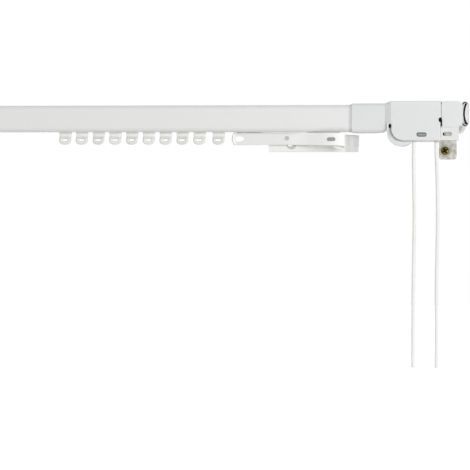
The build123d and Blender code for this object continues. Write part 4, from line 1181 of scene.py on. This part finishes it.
    def guard_lip(self) -> bpy.types.Object:
        """The pale lip that climbs from the guard's edge over the ramp's foot.

        It is an arc about the guard's middle, then a straight rise. Along its length t, from 0 to 1, its
        half width grows and its front steps forward, both by smoothsteps of t.

        Returns:
            The piece.
        """
        centre = np.array(self.guard_middle)
        turn = np.linspace(self.guard_turn * np.pi, np.pi, 25)
        up = np.column_stack([np.full(10, centre[0] - self.guard_radius),
                              centre[1] + np.linspace(0, self.guard_rise, 11)[1:]])
        line = np.vstack([centre + self.guard_radius * circle(turn), up])
        normal = np.vstack([circle(turn), np.tile([-1.0, 0.0], (10, 1))])
        t = np.linspace(0.0, 1.0, len(line))[:, None]
        thin, wide = self.guard_half_width
        end, length, least = self.guard_tip
        width = thin + (wide - thin) * smooth_step(t * self.guard_widen)
        width = width * np.clip((end - t) / length, least, 1.0)
        end, fall, rise = self.guard_reach
        inner = width + self.guard_inward * smooth_step((end - t) / fall) * smooth_step(t / rise)
        low, high = self.guard_front
        start, over = self.guard_step
        front = low + (high - low) * smooth_step((t - start) / over)
        back = front + self.guard_thick
        corners = ((width, front), (width * 0, front - self.guard_ridge), (-inner, front), (-inner, back),
                   (width, back))
        rings = [upright(line + normal * reach, y[:, 0]) for reach, y in corners]
        return self.made("guard_lip", MOULDED_ABS, "white_plastic", np.stack(rings, 1))

    def guard_pin(self) -> bpy.types.Object:
        """Returns the black painted shade that shows beside the lip, where the ramp meets the guard."""
        outline = round_rectangle(*self.guard_shade_size, self.soft_corner, middle=self.guard_shade_middle)
        return self.made("guard_pin", BLACK_PAINTED_SHADE, "dark_clip", self.prism(outline, self.guard_shade_layer))

    def build(self) -> list[bpy.types.Object]:
        """Returns the details."""
        return [self.corner_shade(), self.arm_lip(), self.clip_face(), self.slot_plate(), self.guard_lip(),
                self.guard_pin()]


@dataclass
class EndFitting:
    """Everything at one end of the rod: housing, corner, return arm and wall bracket."""

    side: Side
    frame: dict

    def build(self) -> list[bpy.types.Object]:
        """Gives the end's nodes their finishes and makes its screws and details.

        Returns:
            The new pieces.
        """
        for finish, parts in ((MOULDED_ABS, ("housing_cover", "housing_back", "corner_piece")),
                              (STOVE_ENAMEL, ("return_arm",)), (DishedPlate(), ("wall_bracket",)),
                              (ZINC_STEEL, ("lock_screw",)), (RIVET_ALUMINIUM, ("corner_rivet",)),
                              (SPRING_STEEL, ("cover_clip",))):
            dress(self.frame, finish, *map(self.side.of, parts))
        return [WallScrews(self.side).build(), *CornerDetails(self.side).build()]


@dataclass
class RolledTrack:
    """One half of the rod as it is rolled: a C of sheet with full round edges at the front."""

    name: str
    left: float
    right: float
    inset: float                # from the outer track's faces
    body: str
    height: float = 27.2
    depth: float = 12.0
    front_roll: float = 5.5
    back_roll: float = 2.6
    sheet: float = 0.7
    mouth: float = 14.5
    front: float = -90.0
    run: float = 0.5            # how far a roll's edge loops lie from it on the flats

    def middle_line(self) -> tuple[np.ndarray, np.ndarray]:
        """The middle of the sheet round the section, and its outward normals.

        Between straights of directions a and b the sheet turns on an arc of radius r about the corner
        plus r (b - a), and the normal there is -b cos t + a sin t.

        Returns:
            Points and normals in Y and Z, n by 2 each.
        """
        half = self.height / 2 - self.inset - self.sheet / 2
        near = self.front + self.inset + self.sheet / 2
        far = self.front + self.depth - self.inset - self.sheet / 2
        up, down = np.array([0.0, 1.0]), np.array([0.0, -1.0])
        out, back = np.array([-1.0, 0.0]), np.array([1.0, 0.0])
        front_r, back_r = (r - self.inset - self.sheet / 2 for r in (self.front_roll, self.back_roll))
        corners = (((far, half), up, out, back_r), ((near, half), out, down, front_r),
                   ((near, -half), down, back, front_r), ((far, -half), back, up, back_r))
        t = np.linspace(0.0, np.pi / 2, 13)[:, None]
        # The lips end half a sheet clear of the mouth that the sliders pass through.
        lip = (self.mouth + self.sheet) / 2
        points, normals = [np.array([[far, lip]])], [back[None]]
        for corner, a, b, r in corners:
            normal = -b * np.cos(t) + a * np.sin(t)
            arc = np.array(corner) + r * (b - a) + r * normal
            points.append(np.vstack([arc[0] - self.run * a, arc, arc[-1] + self.run * b]))
            normals.append(np.vstack([normal[:1], normal, normal[-1:]]))
        points.append(np.array([[far, -lip]]))
        normals.append(back[None])
        return np.vstack(points) + np.array([0.0, ROD_Z]), np.vstack(normals)

    def build(self) -> bpy.types.Object:
        """Makes the track, its outer and inner skins closed round both lips and both ends.

        Returns:
            The track.
        """
        line, normal = self.middle_line()
        outer, inner = line + normal * self.sheet / 2, line - normal * self.sheet / 2
        lip = np.array([0.0, self.sheet / 2])
        ring = np.vstack([outer, line[-1] + lip, inner[::-1], line[0] - lip])
        n, columns = len(line), len(ring)
        points = np.vstack([np.column_stack([np.full(columns, x), ring]) for x in (self.left, self.right)])
        i = np.arange(n - 1)
        end = np.stack([i, i + 1, 2 * n - i - 1, 2 * n - i], -1)
        tips = np.array([[n - 1, n, n + 1], [2 * n + 1, 0, 2 * n]])
        caps = [face + k * columns for k in (0, 1) for face in (*end, *tips)]
        piece = outward(mesh_object(self.name, points * MM, ring_quads(2, columns), caps=caps))
        stem = self.name.removesuffix("rolled")
        return fitted(piece, STOVE_ENAMEL, self.body, "white_enamel", stem + "face", stem + "top_roll",
                      stem + "foot_roll")


@dataclass
class SocketLip:
    """The sleeve's mouth drawn down to the rod: a hollow curve round the track's front."""

    side: Side
    track: RolledTrack
    mouth: float = -97.8
    length: float = 3.0
    proud: float = 1.15
    under: float = 0.2          # share of that height under the track
    skin: float = 0.02          # gap to the track
    sunk: float = 0.2           # how far its inner side lies in the sheet

    def build(self) -> bpy.types.Object:
        """Makes the lip, its height above the track being proud * u^2 with u from 0 to 1 to the mouth.

        Returns:
            The lip.
        """
        line, normal = self.track.middle_line()
        front = normal[:, 0] < 0.05
        line, normal = line[front] + normal[front] * self.track.sheet / 2, normal[front]
        u = np.linspace(0.0, 1.0, 9)[:, None, None]
        low = np.where(normal[:, 1:] < -0.5, self.under, 1.0)
        outer = line[None] + normal[None] * (self.skin + self.proud * u ** 2 * low[None])
        inner = np.broadcast_to((line - normal * self.sunk)[None], outer.shape)
        ring = np.concatenate([outer, inner[:, ::-1]], 1)
        x = self.mouth - self.length * (1.0 - u[:, 0, 0])
        if self.side is Side.LEFT:
            x = LEFT_ORIGIN - x
        points = np.stack([np.repeat(x[:, None], ring.shape[1], 1), ring[..., 0], ring[..., 1]], -1)
        n, columns, rows = len(line), ring.shape[1], len(x)
        i = np.arange(n - 1)
        end = np.stack([i, i + 1, 2 * n - i - 2, 2 * n - i - 1], -1)
        caps = [face + k * columns for k in (0, rows - 1) for face in end]
        piece = mesh_object(self.side.of("socket_lip"), points.reshape(-1, 3) * MM, ring_quads(rows, columns),
                            caps=caps)
        return fitted(outward(piece), MOULDED_ABS, self.side.of("end"), "white_plastic")


@dataclass
class Rod:
    """The two telescoping tracks, their sleeves' lips and the wheels at their ends."""

    frame: dict
    outer_ends: tuple[float, float] = (-574.8, -74.8)
    inner_ends: tuple[float, float] = (-727.8, -221.8)
    inner_inset: float = 1.0

    def build(self) -> list[bpy.types.Object]:
        """Makes both tracks and lips, and gives pulleys and pins their finishes.

        Returns:
            The new pieces.
        """
        dress(self.frame, ACETAL, "lower_cord_pulley", "upper_cord_pulley", "idler_pulley")
        dress(self.frame, ZINC_STEEL, "right_pulley_axles", "idler_axle")
        outer = RolledTrack("outer_track_rolled", *self.outer_ends, 0.0, "right_end")
        inner = RolledTrack("inner_track_rolled", *self.inner_ends, self.inner_inset, "left_end")
        return [outer.build(), inner.build(), SocketLip(Side.RIGHT, outer).build(),
                SocketLip(Side.LEFT, inner).build()]


@dataclass
class Glider:
    """One moulded glider: head in the rod, neck, tab and a thick ring for the curtain hook."""

    number: int
    x: float
    twist: float                # degrees that its ring hangs turned
    width: float = 12.0
    tab_extra: float = 0.7      # how much wider the tab is
    plan_corner: float = 0.35
    ring: tuple[float, float] = (12.6, 9.3)
    hole: tuple[float, float] = (5.4, 2.5)
    ring_z: float = -10.3
    ring_half_depth: float = 1.35
    ring_lean: float = 0.35     # how far its foot leans to the left
    ring_power: tuple[float, float] = (0.86, 0.44)          # p of its outline, below and at the top
    foot_shade: tuple[float, float, float] = (-5.6, 1.4, 0.28)   # painted shade below this height, over, how much
    eye_shade: tuple[float, float, float] = (-8.0, 0.8, 0.34)    # painted shade band: height, half height, how much
    twist_below: tuple[float, float] = (-3.0, 5.0)          # where it starts to turn, over how much
    plate_y: tuple[float, float] = (-77.7, -76.1)
    head_y: tuple[float, float] = (-81.8, -80.0)
    head_z: tuple[float, float] = (2.45, 19.55)
    end_ring: float = 0.3       # first ring of the head from its end
    end_draw: float = 0.5       # how much narrower its ends are
    tab_z: tuple[float, ...] = (19.55, 19.3, 2.0, -3.0, -5.0, -6.5, -7.2, -7.9)
    tab_draw: tuple[float, ...] = (0.5, 0.0, 0.0, 0.0, 0.05, 0.2, 0.7, 2.2)     # narrower at each height
    neck_z: tuple[float, float] = (4.05, 17.95)
    neck_width: float = 8.0
    sink: float = 0.2           # how far the neck goes into head and tab

    def twisted(self, rings: np.ndarray) -> np.ndarray:
        """Turns what hangs below the rod about a vertical line, more and more down to the ring.

        The angle is twist * smoothstep((start - z) / over).

        Args:
            rings: points with the last axis X, Y, Z.

        Returns:
            The turned points.
        """
        middle = sum(self.plate_y) / 2
        start, over = self.twist_below
        angle = math.radians(self.twist) * smooth_step((start - rings[..., 2]) / over)
        dx, dy = rings[..., 0] - self.x, rings[..., 1] - middle
        return np.stack([self.x + dx * np.cos(angle) - dy * np.sin(angle),
                         middle + dx * np.sin(angle) + dy * np.cos(angle), rings[..., 2]], -1)

    def block(self, y: tuple[float, float], z: np.ndarray, width: np.ndarray) -> np.ndarray:
        """Rings of an upright block with round corners in plan.

        Args:
            y: its front and back.
            z: height of each ring.
            width: width of each ring.

        Returns:
            Rings, rows by columns by 3.
        """
        rings = []
        for height, wide in zip(z, width):
            plan = round_rectangle(wide, y[1] - y[0], self.plan_corner, 3, (self.x, sum(y) / 2))
            rings.append(np.column_stack([plan, np.full(len(plan), height)]))
        return np.stack(rings)

    def eye(self) -> np.ndarray:
        """Rings of the thick eye: a line (a cos^p t, b sin^p t), squarer at the top, with an oval section.

        Returns:
            Rings, rows by columns by 3, closed both ways.
        """
        t = full_turn(48)
        thick = (self.ring[0] - self.hole[0]) / 4
        a, b = self.ring[0] / 2 - thick, self.ring[1] / 2 - thick
        low, high = self.ring_power
        power = low + (high - low) * smooth_step(np.sin(t) * 2.0)
        flat = np.column_stack([a * np.sign(np.cos(t)) * abs(np.cos(t)) ** power
                                - self.ring_lean * (1 - np.sin(t)),
                                b * np.sign(np.sin(t)) * abs(np.sin(t)) ** power])
        along = unit(np.roll(flat, -1, 0) - np.roll(flat, 1, 0))
        normal = np.column_stack([along[:, 1], -along[:, 0]])
        phi = full_turn(16)
        xz = flat[:, None, :] + thick * np.cos(phi)[None, :, None] * normal[:, None, :]
        y = sum(self.plate_y) / 2 + self.ring_half_depth * np.sin(phi)[None, :] + np.zeros((len(t), 1))
        return np.stack([xz[..., 0] + self.x, y, xz[..., 1] + self.ring_z], -1)

    def build(self) -> bpy.types.Object:
        """Makes the glider as one piece; its tab narrows to the ring, and the ring's painted shade is a step
        and a bell in z.

        Returns:
            The glider.
        """
        plate = self.twisted(self.block(self.plate_y, np.array(self.tab_z),
                                        self.width + self.tab_extra - np.array(self.tab_draw)))
        low, high = self.head_z
        head = self.block(self.head_y, np.array([low, low + self.end_ring, high - self.end_ring, high]),
                          self.width - self.end_draw * np.array([1.0, 0.0, 0.0, 1.0]))
        neck = self.block((self.head_y[1] - self.sink, self.plate_y[0] + self.sink), np.array(self.neck_z),
                          np.full(2, self.neck_width))
        solid, quads, caps = loft_parts([plate, head, neck])
        ring = self.twisted(self.eye())
        wrap = wrapped_quads(*ring.shape[:2]) + len(solid)
        name = f"glider_{self.number:02d}"
        piece = mesh_object(name + "_moulded", np.vstack([solid, ring.reshape(-1, 3)]) * MM,
                            np.vstack([quads, wrap]), caps=caps)
        outward(piece, 45.0)
        start, over, foot = self.foot_shade
        height, half, grey = self.eye_shade
        mark_points(piece, "painted_eye_shade", lambda p: foot * smooth_step((start - p[:, 2]) / over)
                    + grey * np.exp(-((p[:, 2] - height) / half) ** 2))
        return fitted(piece, GLIDER_NYLON, name, "slider_plastic", name)


@dataclass
class OverlapStrip:
    """The front master's steel strip: flat at the hook's eye, stepping forward, with a curled tip."""

    left: float = -219.7
    thick: float = 1.2
    ease: float = 0.25          # of its long edges
    back_y: float = -78.3       # middle of the sheet at the left
    bow: float = 18.0
    step_from: float = -158.0
    step_to: float = -112.0
    tip: float = -104.1
    curl: float = 3.95          # outer radius of the curl
    leg_end: float = -117.0
    leg_height: float = 2.0
    leg_dip: tuple[float, float] = (0.35, 0.5)      # where along curl and leg the top dips, over how much
    top: float = -2.72
    low: float = -15.3
    drop: float = 1.9
    curl_drop: float = 3.0
    curl_power: float = 0.9     # of the sine that the curl's lower edge follows
    bulge: float = 2.3
    rim_inset: float = 0.55     # rim's middle to the strip's end, and half its width
    rim_short: float = 0.3      # how far it stops from the strip's edges
    rim_proud: float = 0.3      # rim's middle in front of the strip's face
    rim_half_depth: float = 1.3
    rim_ends: tuple[float, float] = (0.12, 0.35)    # it draws in as sin^0.35, from this angle
    rim_painted_shade: tuple[float, float] = (0.6, 0.7)    # painted shade left of its middle: level, fade
    eye: tuple[float, float, float, float] = (-213.2, 2.9, 3.9, 1.9)    # X, radius, reach, tip's radius
    slot: tuple[float, float, float] = (-118.2, 8.8, 3.9)               # X, length, height
    slot_shade_depth: float = 0.25   # behind the strip's face
    slot_shade_thick: float = 0.5
    slot_shade_share: float = 0.995  # of the slot's length
    rivet: tuple[float, float, float] = (-163.4, -8.4, 1.6)             # X, Z, radius
    painted_light_from: tuple[float, float] = (-165.0, 20.0)   # painted light right of this X, over how much
    painted_light_end: tuple[float, float, float] = (4.5, 1.5, 0.8)    # painted light at the left end: length, fade, how much
    cut_past: float = 3.0       # how far the cutters go past the strip

    @property
    def middle(self) -> float:
        """Height of the strip's middle at its left end."""
        return (self.top + self.low) / 2

    @property
    def half(self) -> float:
        """Half its height there."""
        return (self.top - self.low) / 2

    def step(self, x: np.ndarray) -> np.ndarray:
        """Returns how far the strip has stepped forward at each X, from 0 to 1."""
        return smooth_step((x - self.step_from) / (self.step_to - self.step_from))

    def path(self) -> tuple[np.ndarray, np.ndarray, np.ndarray, np.ndarray]:
        """The strip's middle line in plan, with its normals and its upper and lower edges.

        The step is y = back - bow * smoothstep, the curl a half circle, and the leg runs back to the
        left. The lower edge falls with the step and bulges by a sine over the curl; the upper one dips
        on the leg.

        Returns:
            Points and normals in X and Y, and the heights of the two edges.
        """
        run = np.concatenate([np.linspace(self.left, self.step_from, 12)[:-1],
                              np.linspace(self.step_from, self.step_to, 29)])
        share = self.step(run)
        flat = np.column_stack([run, self.back_y - self.bow * share])
        radius = self.curl - self.thick / 2
        centre = np.array([self.tip - self.thick / 2 - radius, self.back_y - self.bow + radius])
        arc = centre + radius * circle(np.linspace(-np.pi / 2, np.pi / 2, 17))
        leg = np.column_stack([np.linspace(centre[0], self.leg_end, 15)[1:], np.full(14, arc[-1, 1])])
        line = np.vstack([flat, arc, leg])
        tangent = unit(np.gradient(line, axis=0))
        normal = np.column_stack([tangent[:, 1], -tangent[:, 0]])
        fall = np.concatenate([share, np.ones(len(arc) + len(leg))]) * self.drop
        steps = np.linalg.norm(np.diff(np.vstack([flat[-1:], arc, leg]), axis=0), axis=1)
        along = np.concatenate([np.zeros(len(flat)), np.cumsum(steps) / steps.sum()])
        low = self.low - fall - self.curl_drop * np.sin(np.pi * along ** 2) ** self.curl_power
        start, over = self.leg_dip
        top = self.top - fall - (self.top - self.low - self.leg_height) * smooth_step((along - start) / over)
        return line, normal, top, low

    def prism(self, name: str, outline: np.ndarray) -> bpy.types.Object:
        """Returns a cutter through the strip with an outline in X and Z."""
        return lofted(name, np.stack([upright(outline, self.back_y - self.bow - self.cut_past - 1.0),
                                      upright(outline, self.back_y + self.cut_past)]))

    def cutters(self) -> list[bpy.types.Object]:
        """What is cut out: the end, bowed by x = left + bulge (z / half)^2, a teardrop eye, slot and hole.

        Returns:
            The cutters.
        """
        share = np.linspace(1.0, -1.0, 25)
        arc = np.column_stack([self.left + self.bulge * share ** 2, self.middle + self.half * share])
        inner, outer = self.left + self.bulge, self.left - self.cut_past
        under, over = self.low - self.cut_past, self.top + self.cut_past
        bowed_end = np.vstack([arc, [[inner, under], [outer, under], [outer, over], [inner, over]]])
        x, radius, reach, tip = self.eye
        lean = math.asin((radius - tip) / reach)
        big = circle(np.linspace(np.pi / 2 - lean, 3 * np.pi / 2 + lean, 28))
        small = circle(np.linspace(-np.pi / 2 + lean, np.pi / 2 - lean, 12))
        teardrop = np.vstack([np.array([x, self.middle]) + radius * big,
                              np.array([x + reach, self.middle]) + tip * small])
        slot_x, length, height = self.slot
        slot = round_rectangle(length, height, height * 0.498, 8, (slot_x, self.middle - self.drop))
        rivet = np.array(self.rivet[:2]) + self.rivet[2] * circle(full_turn(24))
        return [self.prism("bowed_end_cutter", bowed_end), self.prism("eye_cutter", teardrop),
                self.prism("slot_cutter", slot), self.prism("rivet_cutter", rivet)]

    def rim(self) -> np.ndarray:
        """The raised rim round the left end, a half oval carried round the end's outline.

        Returns:
            Rings, rows by columns by 3.
        """
        half = self.half - self.rim_short
        share = np.linspace(1.0, -1.0, 33)
        line = np.column_stack([self.left + self.rim_inset + self.bulge * share ** 2,
                                self.middle + half * share])
        normal = unit(np.column_stack([np.full(33, -half), 2.0 * self.bulge * share]))
        phi = full_turn(12)
        angle, power = self.rim_ends
        size = np.sin(np.linspace(angle, np.pi - angle, len(share))) ** power
        xz = line[:, None, :] + self.rim_inset * np.cos(phi)[None, :, None] * normal[:, None, :]
        front = self.back_y - self.thick / 2 - self.rim_proud
        y = front + self.rim_half_depth * size[:, None] * np.sin(phi)[None, :]
        return np.stack([xz[..., 0], y, xz[..., 1]], -1)

    def slot_painted_shade(self) -> np.ndarray:
        """A grey sheet of painted shade in the slot, which follows the strip's step behind its face.

        Returns:
            Rings, rows by columns by 3.
        """
        x, length, height = self.slot
        place = np.linspace(-1.0, 1.0, 21) * self.slot_shade_share
        across = x + place * length / 2
        reach = np.clip(abs(place * length / 2) - (length - height) / 2, 0.0, None)
        half = np.sqrt(np.clip((height / 2) ** 2 - reach ** 2, 0.01, None))
        front = self.back_y - self.bow * self.step(across) - self.thick / 2 + self.slot_shade_depth
        thick = self.slot_shade_thick
        return np.stack([np.column_stack([across, front + back, self.middle - self.drop + side * half])
                         for side, back in ((-1, 0.0), (1, 0.0), (1, thick), (-1, thick))], 1)

    def sheet(self) -> np.ndarray:
        """The strip's sheet as an eight-cornered section, eased at its edges, along its path.

        Returns:
            Rings, rows by columns by 3.
        """
        line, normal, top, low = self.path()
        ease = self.ease
        section = ((1, ease, top), (1, 0, top - ease), (1, 0, low + ease), (1, ease, low), (-1, ease, low),
                   (-1, 0, low + ease), (-1, 0, top - ease), (-1, ease, top))
        return np.stack([np.column_stack([line + normal * (side * (self.thick / 2 - draw)), z])
                         for side, draw, z in section], 1)

    def build(self) -> list[bpy.types.Object]:
        """Makes the strip with its holes and curl, its rim and the painted shade in its slot.

        Returns:
            The three pieces.
        """
        strip = lofted("overlap_strip", self.sheet(), sharp_degrees=50.0)
        cut(strip, *self.cutters())
        rim = lofted("overlap_strip_rim", self.rim(), sharp_degrees=60.0)
        slot_shade = lofted("overlap_slot_painted_shade", self.slot_painted_shade())
        level, fade = self.rim_painted_shade
        mark_points(rim, "painted_rim_shade", lambda p: smooth_step(
            level - (p[:, 0] - self.left - self.rim_inset
                     - self.bulge * ((p[:, 2] - self.middle) / self.half) ** 2) / fade))
        # The coat attribute is painted light: brighter where the strip bows forward and at its left end.
        start, over = self.painted_light_from
        length, end_fade, coat = self.painted_light_end
        mark_points(strip, "coat", lambda p: smooth_step((p[:, 0] - start) / over)
                    + coat * smooth_step((self.left + length - p[:, 0]) / end_fade))
        return [fitted(strip, STRIP_ENAMEL, "overlap_master", "master_enamel", "overlap_arm"),
                fitted(rim, RIM_ENAMEL, "overlap_master", "master_enamel"),
                fitted(slot_shade, SLOT_PAINTED_SHADE, "overlap_master", "master_enamel")]


@dataclass
class RearEyelet:
    """Pressed collar round the rear master's eye: its hole sits off centre, as the photograph shows."""

    hole: tuple[float, float, float] = (-160.4, -13.4, 3.1)      # X, Z, radius
    rim: tuple[float, float, float] = (-158.9, -14.4, 5.2)
    front: float = -74.98
    bulge: float = 0.35
    depth: float = 0.9

    def build(self) -> bpy.types.Object:
        """Makes the collar: between its two circles the front is y = front - bulge sin(pi s).

        Returns:
            The collar.
        """
        t = full_turn(48)[:, None]
        s = np.linspace(0.0, 1.0, 9)[None]
        x, z = ((1 - s) * (self.hole[i] + self.hole[2] * turn) + s * (self.rim[i] + self.rim[2] * turn)
                for i, turn in enumerate((np.cos(t), np.sin(t))))
        y = np.broadcast_to(self.front - self.bulge * np.sin(np.pi * s), x.shape)
        face = np.stack([x, y, z], -1)
        back = face[:, [-1, 0]]
        back[..., 1] = self.front + self.depth
        rings = np.concatenate([face, back], 1)
        piece = mesh_object("underlap_eyelet", rings.reshape(-1, 3) * MM, wrapped_quads(*rings.shape[:2]))
        return fitted(outward(piece, 60.0), EYELET_PAINTED_SHADE, "underlap_master", "master_enamel")


@dataclass
class Carriers:
    """Gliders and the two masters."""

    frame: dict
    last_x: float = -233.5
    last_gap: float = 19.7
    pitch: float = 17.5
    twists: tuple[float, ...] = (-5.0, 7.0, -9.0, 5.0, 13.0, -6.0, 9.0, -8.0, 4.0, 7.0)

    def build(self) -> list[bpy.types.Object]:
        """Makes gliders, strip and eyelet, and gives the other pieces their finishes.

        Returns:
            The new pieces.
        """
        dress(self.frame, MOULDED_NYLON, "overlap_slider", "underlap_slider", "cord_stops")
        dress(self.frame, MASTER_ENAMEL, "underlap_plate")
        dress(self.frame, DULL_RIVET, "overlap_rivet", "underlap_rivets")
        count = len(self.twists)
        places = self.last_x - np.concatenate([[0.0], self.last_gap + self.pitch * np.arange(count - 1)])
        gliders = [Glider(i + 1, float(places[i]), self.twists[i]).build() for i in range(count)]
        return gliders + OverlapStrip().build() + [RearEyelet().build()]


# Studio

def seen_straight(tree: bpy.types.NodeTree) -> bpy.types.NodeSocket:
    """Tells what the camera sees, also in a gloss or through a clear piece, from what only lights.

    Args:
        tree: a node tree.

    Returns:
        Output that is 1 for camera, glossy and transmission rays.
    """
    rays = add_node(tree, "ShaderNodeLightPath")
    seen = add_node(tree, "ShaderNodeMath", None,
                    {0: rays.outputs["Is Camera Ray"], 1: rays.outputs["Is Glossy Ray"]}, operation="MAXIMUM")
    seen = add_node(tree, "ShaderNodeMath", None,
                    {0: seen.outputs[0], 1: rays.outputs["Is Transmission Ray"]}, operation="MAXIMUM")
    return seen.outputs[0]


@dataclass
class Studio:
    """Camera at the photograph's place, soft light and a pale floor."""

    focal_px: float = 1350.0
    picture_px: float = 470.0
    sensor_mm: float = 36.0
    yaw: float = 5.7106
    pitch: float = 0.8868
    roll: float = 0.5
    place: tuple[float, float, float] = (-78.75, -1448.73, -128.6)
    sky_light: float = 0.46
    floor_m: tuple[float, float] = (12.0, -0.60)        # half its width, and its height
    floor_colour: str = "F2F2F0"
    floor_roughness: float = 0.9
    floor_lift: float = 0.72    # what makes it white to the camera
    lamp_place_m: tuple[float, float, float] = (1.29, -3.01, 0.34)
    lamp_aim_m: tuple[float, float, float] = (-0.2, -0.09, 0.0)
    lamp_size_m: tuple[float, float] = (1.8, 1.3)
    lamp_watts: float = 50.0

    def camera(self) -> None:
        """Places the camera, turned by yaw, pitch and roll from looking along +Y."""
        y, p, r = (math.radians(v) for v in (self.yaw, self.pitch, self.roll))
        right = Vector((math.cos(y), math.sin(y), 0.0))
        ahead = Vector((-math.sin(y) * math.cos(p), math.cos(y) * math.cos(p), math.sin(p)))
        up = right.cross(ahead)
        side = math.cos(r) * right + math.sin(r) * up
        top = -math.sin(r) * right + math.cos(r) * up
        data = bpy.data.cameras.new("photograph_camera")
        data.sensor_width = self.sensor_mm
        data.lens = self.focal_px / self.picture_px * data.sensor_width
        data.clip_start, data.clip_end = 0.05, 50.0
        camera = bpy.data.objects.new("photograph_camera", data)
        turn = Matrix((side, top, -ahead)).transposed().to_4x4()
        camera.matrix_world = Matrix.Translation(Vector(self.place) * MM) @ turn
        bpy.context.scene.collection.objects.link(camera)
        bpy.context.scene.camera = camera

    def softbox(self) -> None:
        """Hangs the one rectangular soft box, turned to its aim."""
        data = bpy.data.lights.new("key_softbox", "AREA")
        data.shape = "RECTANGLE"
        data.size, data.size_y = self.lamp_size_m
        data.energy = self.lamp_watts
        lamp = bpy.data.objects.new("key_softbox", data)
        lamp.location = self.lamp_place_m
        lamp.rotation_mode = "QUATERNION"
        aim = Vector(self.lamp_aim_m) - Vector(self.lamp_place_m)
        lamp.rotation_quaternion = aim.to_track_quat("-Z", "Y")
        bpy.context.scene.collection.objects.link(lamp)

    def sky(self) -> None:
        """Sets an even sky that the camera and reflections see as white."""
        world = bpy.data.worlds.new("studio_sky")
        world.use_nodes = True
        bpy.context.scene.world = world
        tree = world.node_tree
        tree.nodes.clear()
        level = add_node(tree, "ShaderNodeMapRange", {"To Min": self.sky_light, "To Max": 1.0},
                         {"Value": seen_straight(tree)})
        glow = add_node(tree, "ShaderNodeBackground", {"Color": linear("FFFFFF")},
                        {"Strength": level.outputs["Result"]})
        add_node(tree, "ShaderNodeOutputWorld", None, {"Surface": glow.outputs[0]})

    def floor(self) -> None:
        """Lays the plain pale floor, which keeps the object's shadow."""
        reach, height = self.floor_m
        corners = ((-reach, -reach), (reach, -reach), (reach, reach), (-reach, reach))
        piece = mesh_object("studio_floor", np.array([(x, y, height) for x, y in corners]),
                            np.array([[0, 1, 2, 3]]))
        material, tree, shader = start_material("pale_floor", {
            "Base Color": linear(self.floor_colour), "Roughness": self.floor_roughness,
            "Emission Color": linear("FFFFFF")})
        lift = add_node(tree, "ShaderNodeMath", {1: self.floor_lift}, {0: seen_straight(tree)},
                        operation="MULTIPLY")
        tree.links.new(lift.outputs[0], shader.inputs["Emission Strength"])
        piece.data.materials.append(material)

    def build(self) -> None:
        """Makes camera, sky, lamp and floor."""
        self.camera()
        self.sky()
        self.softbox()
        self.floor()
        bpy.context.scene.view_settings.view_transform = "Standard"


def main() -> None:
    """Builds and dresses the whole scene, piece by piece."""
    logging.basicConfig(level=logging.INFO, format="%(message)s")
    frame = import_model()
    Studio().build()
    log.info("studio ready")
    pieces = DrawCord().build() + Rod(frame).build() + Carriers(frame).build()
    for side in Side:
        pieces += EndFitting(side, frame).build()
    for piece in pieces:
        log.info("piece %s", piece.name)


if __name__ == "__main__":
    main()
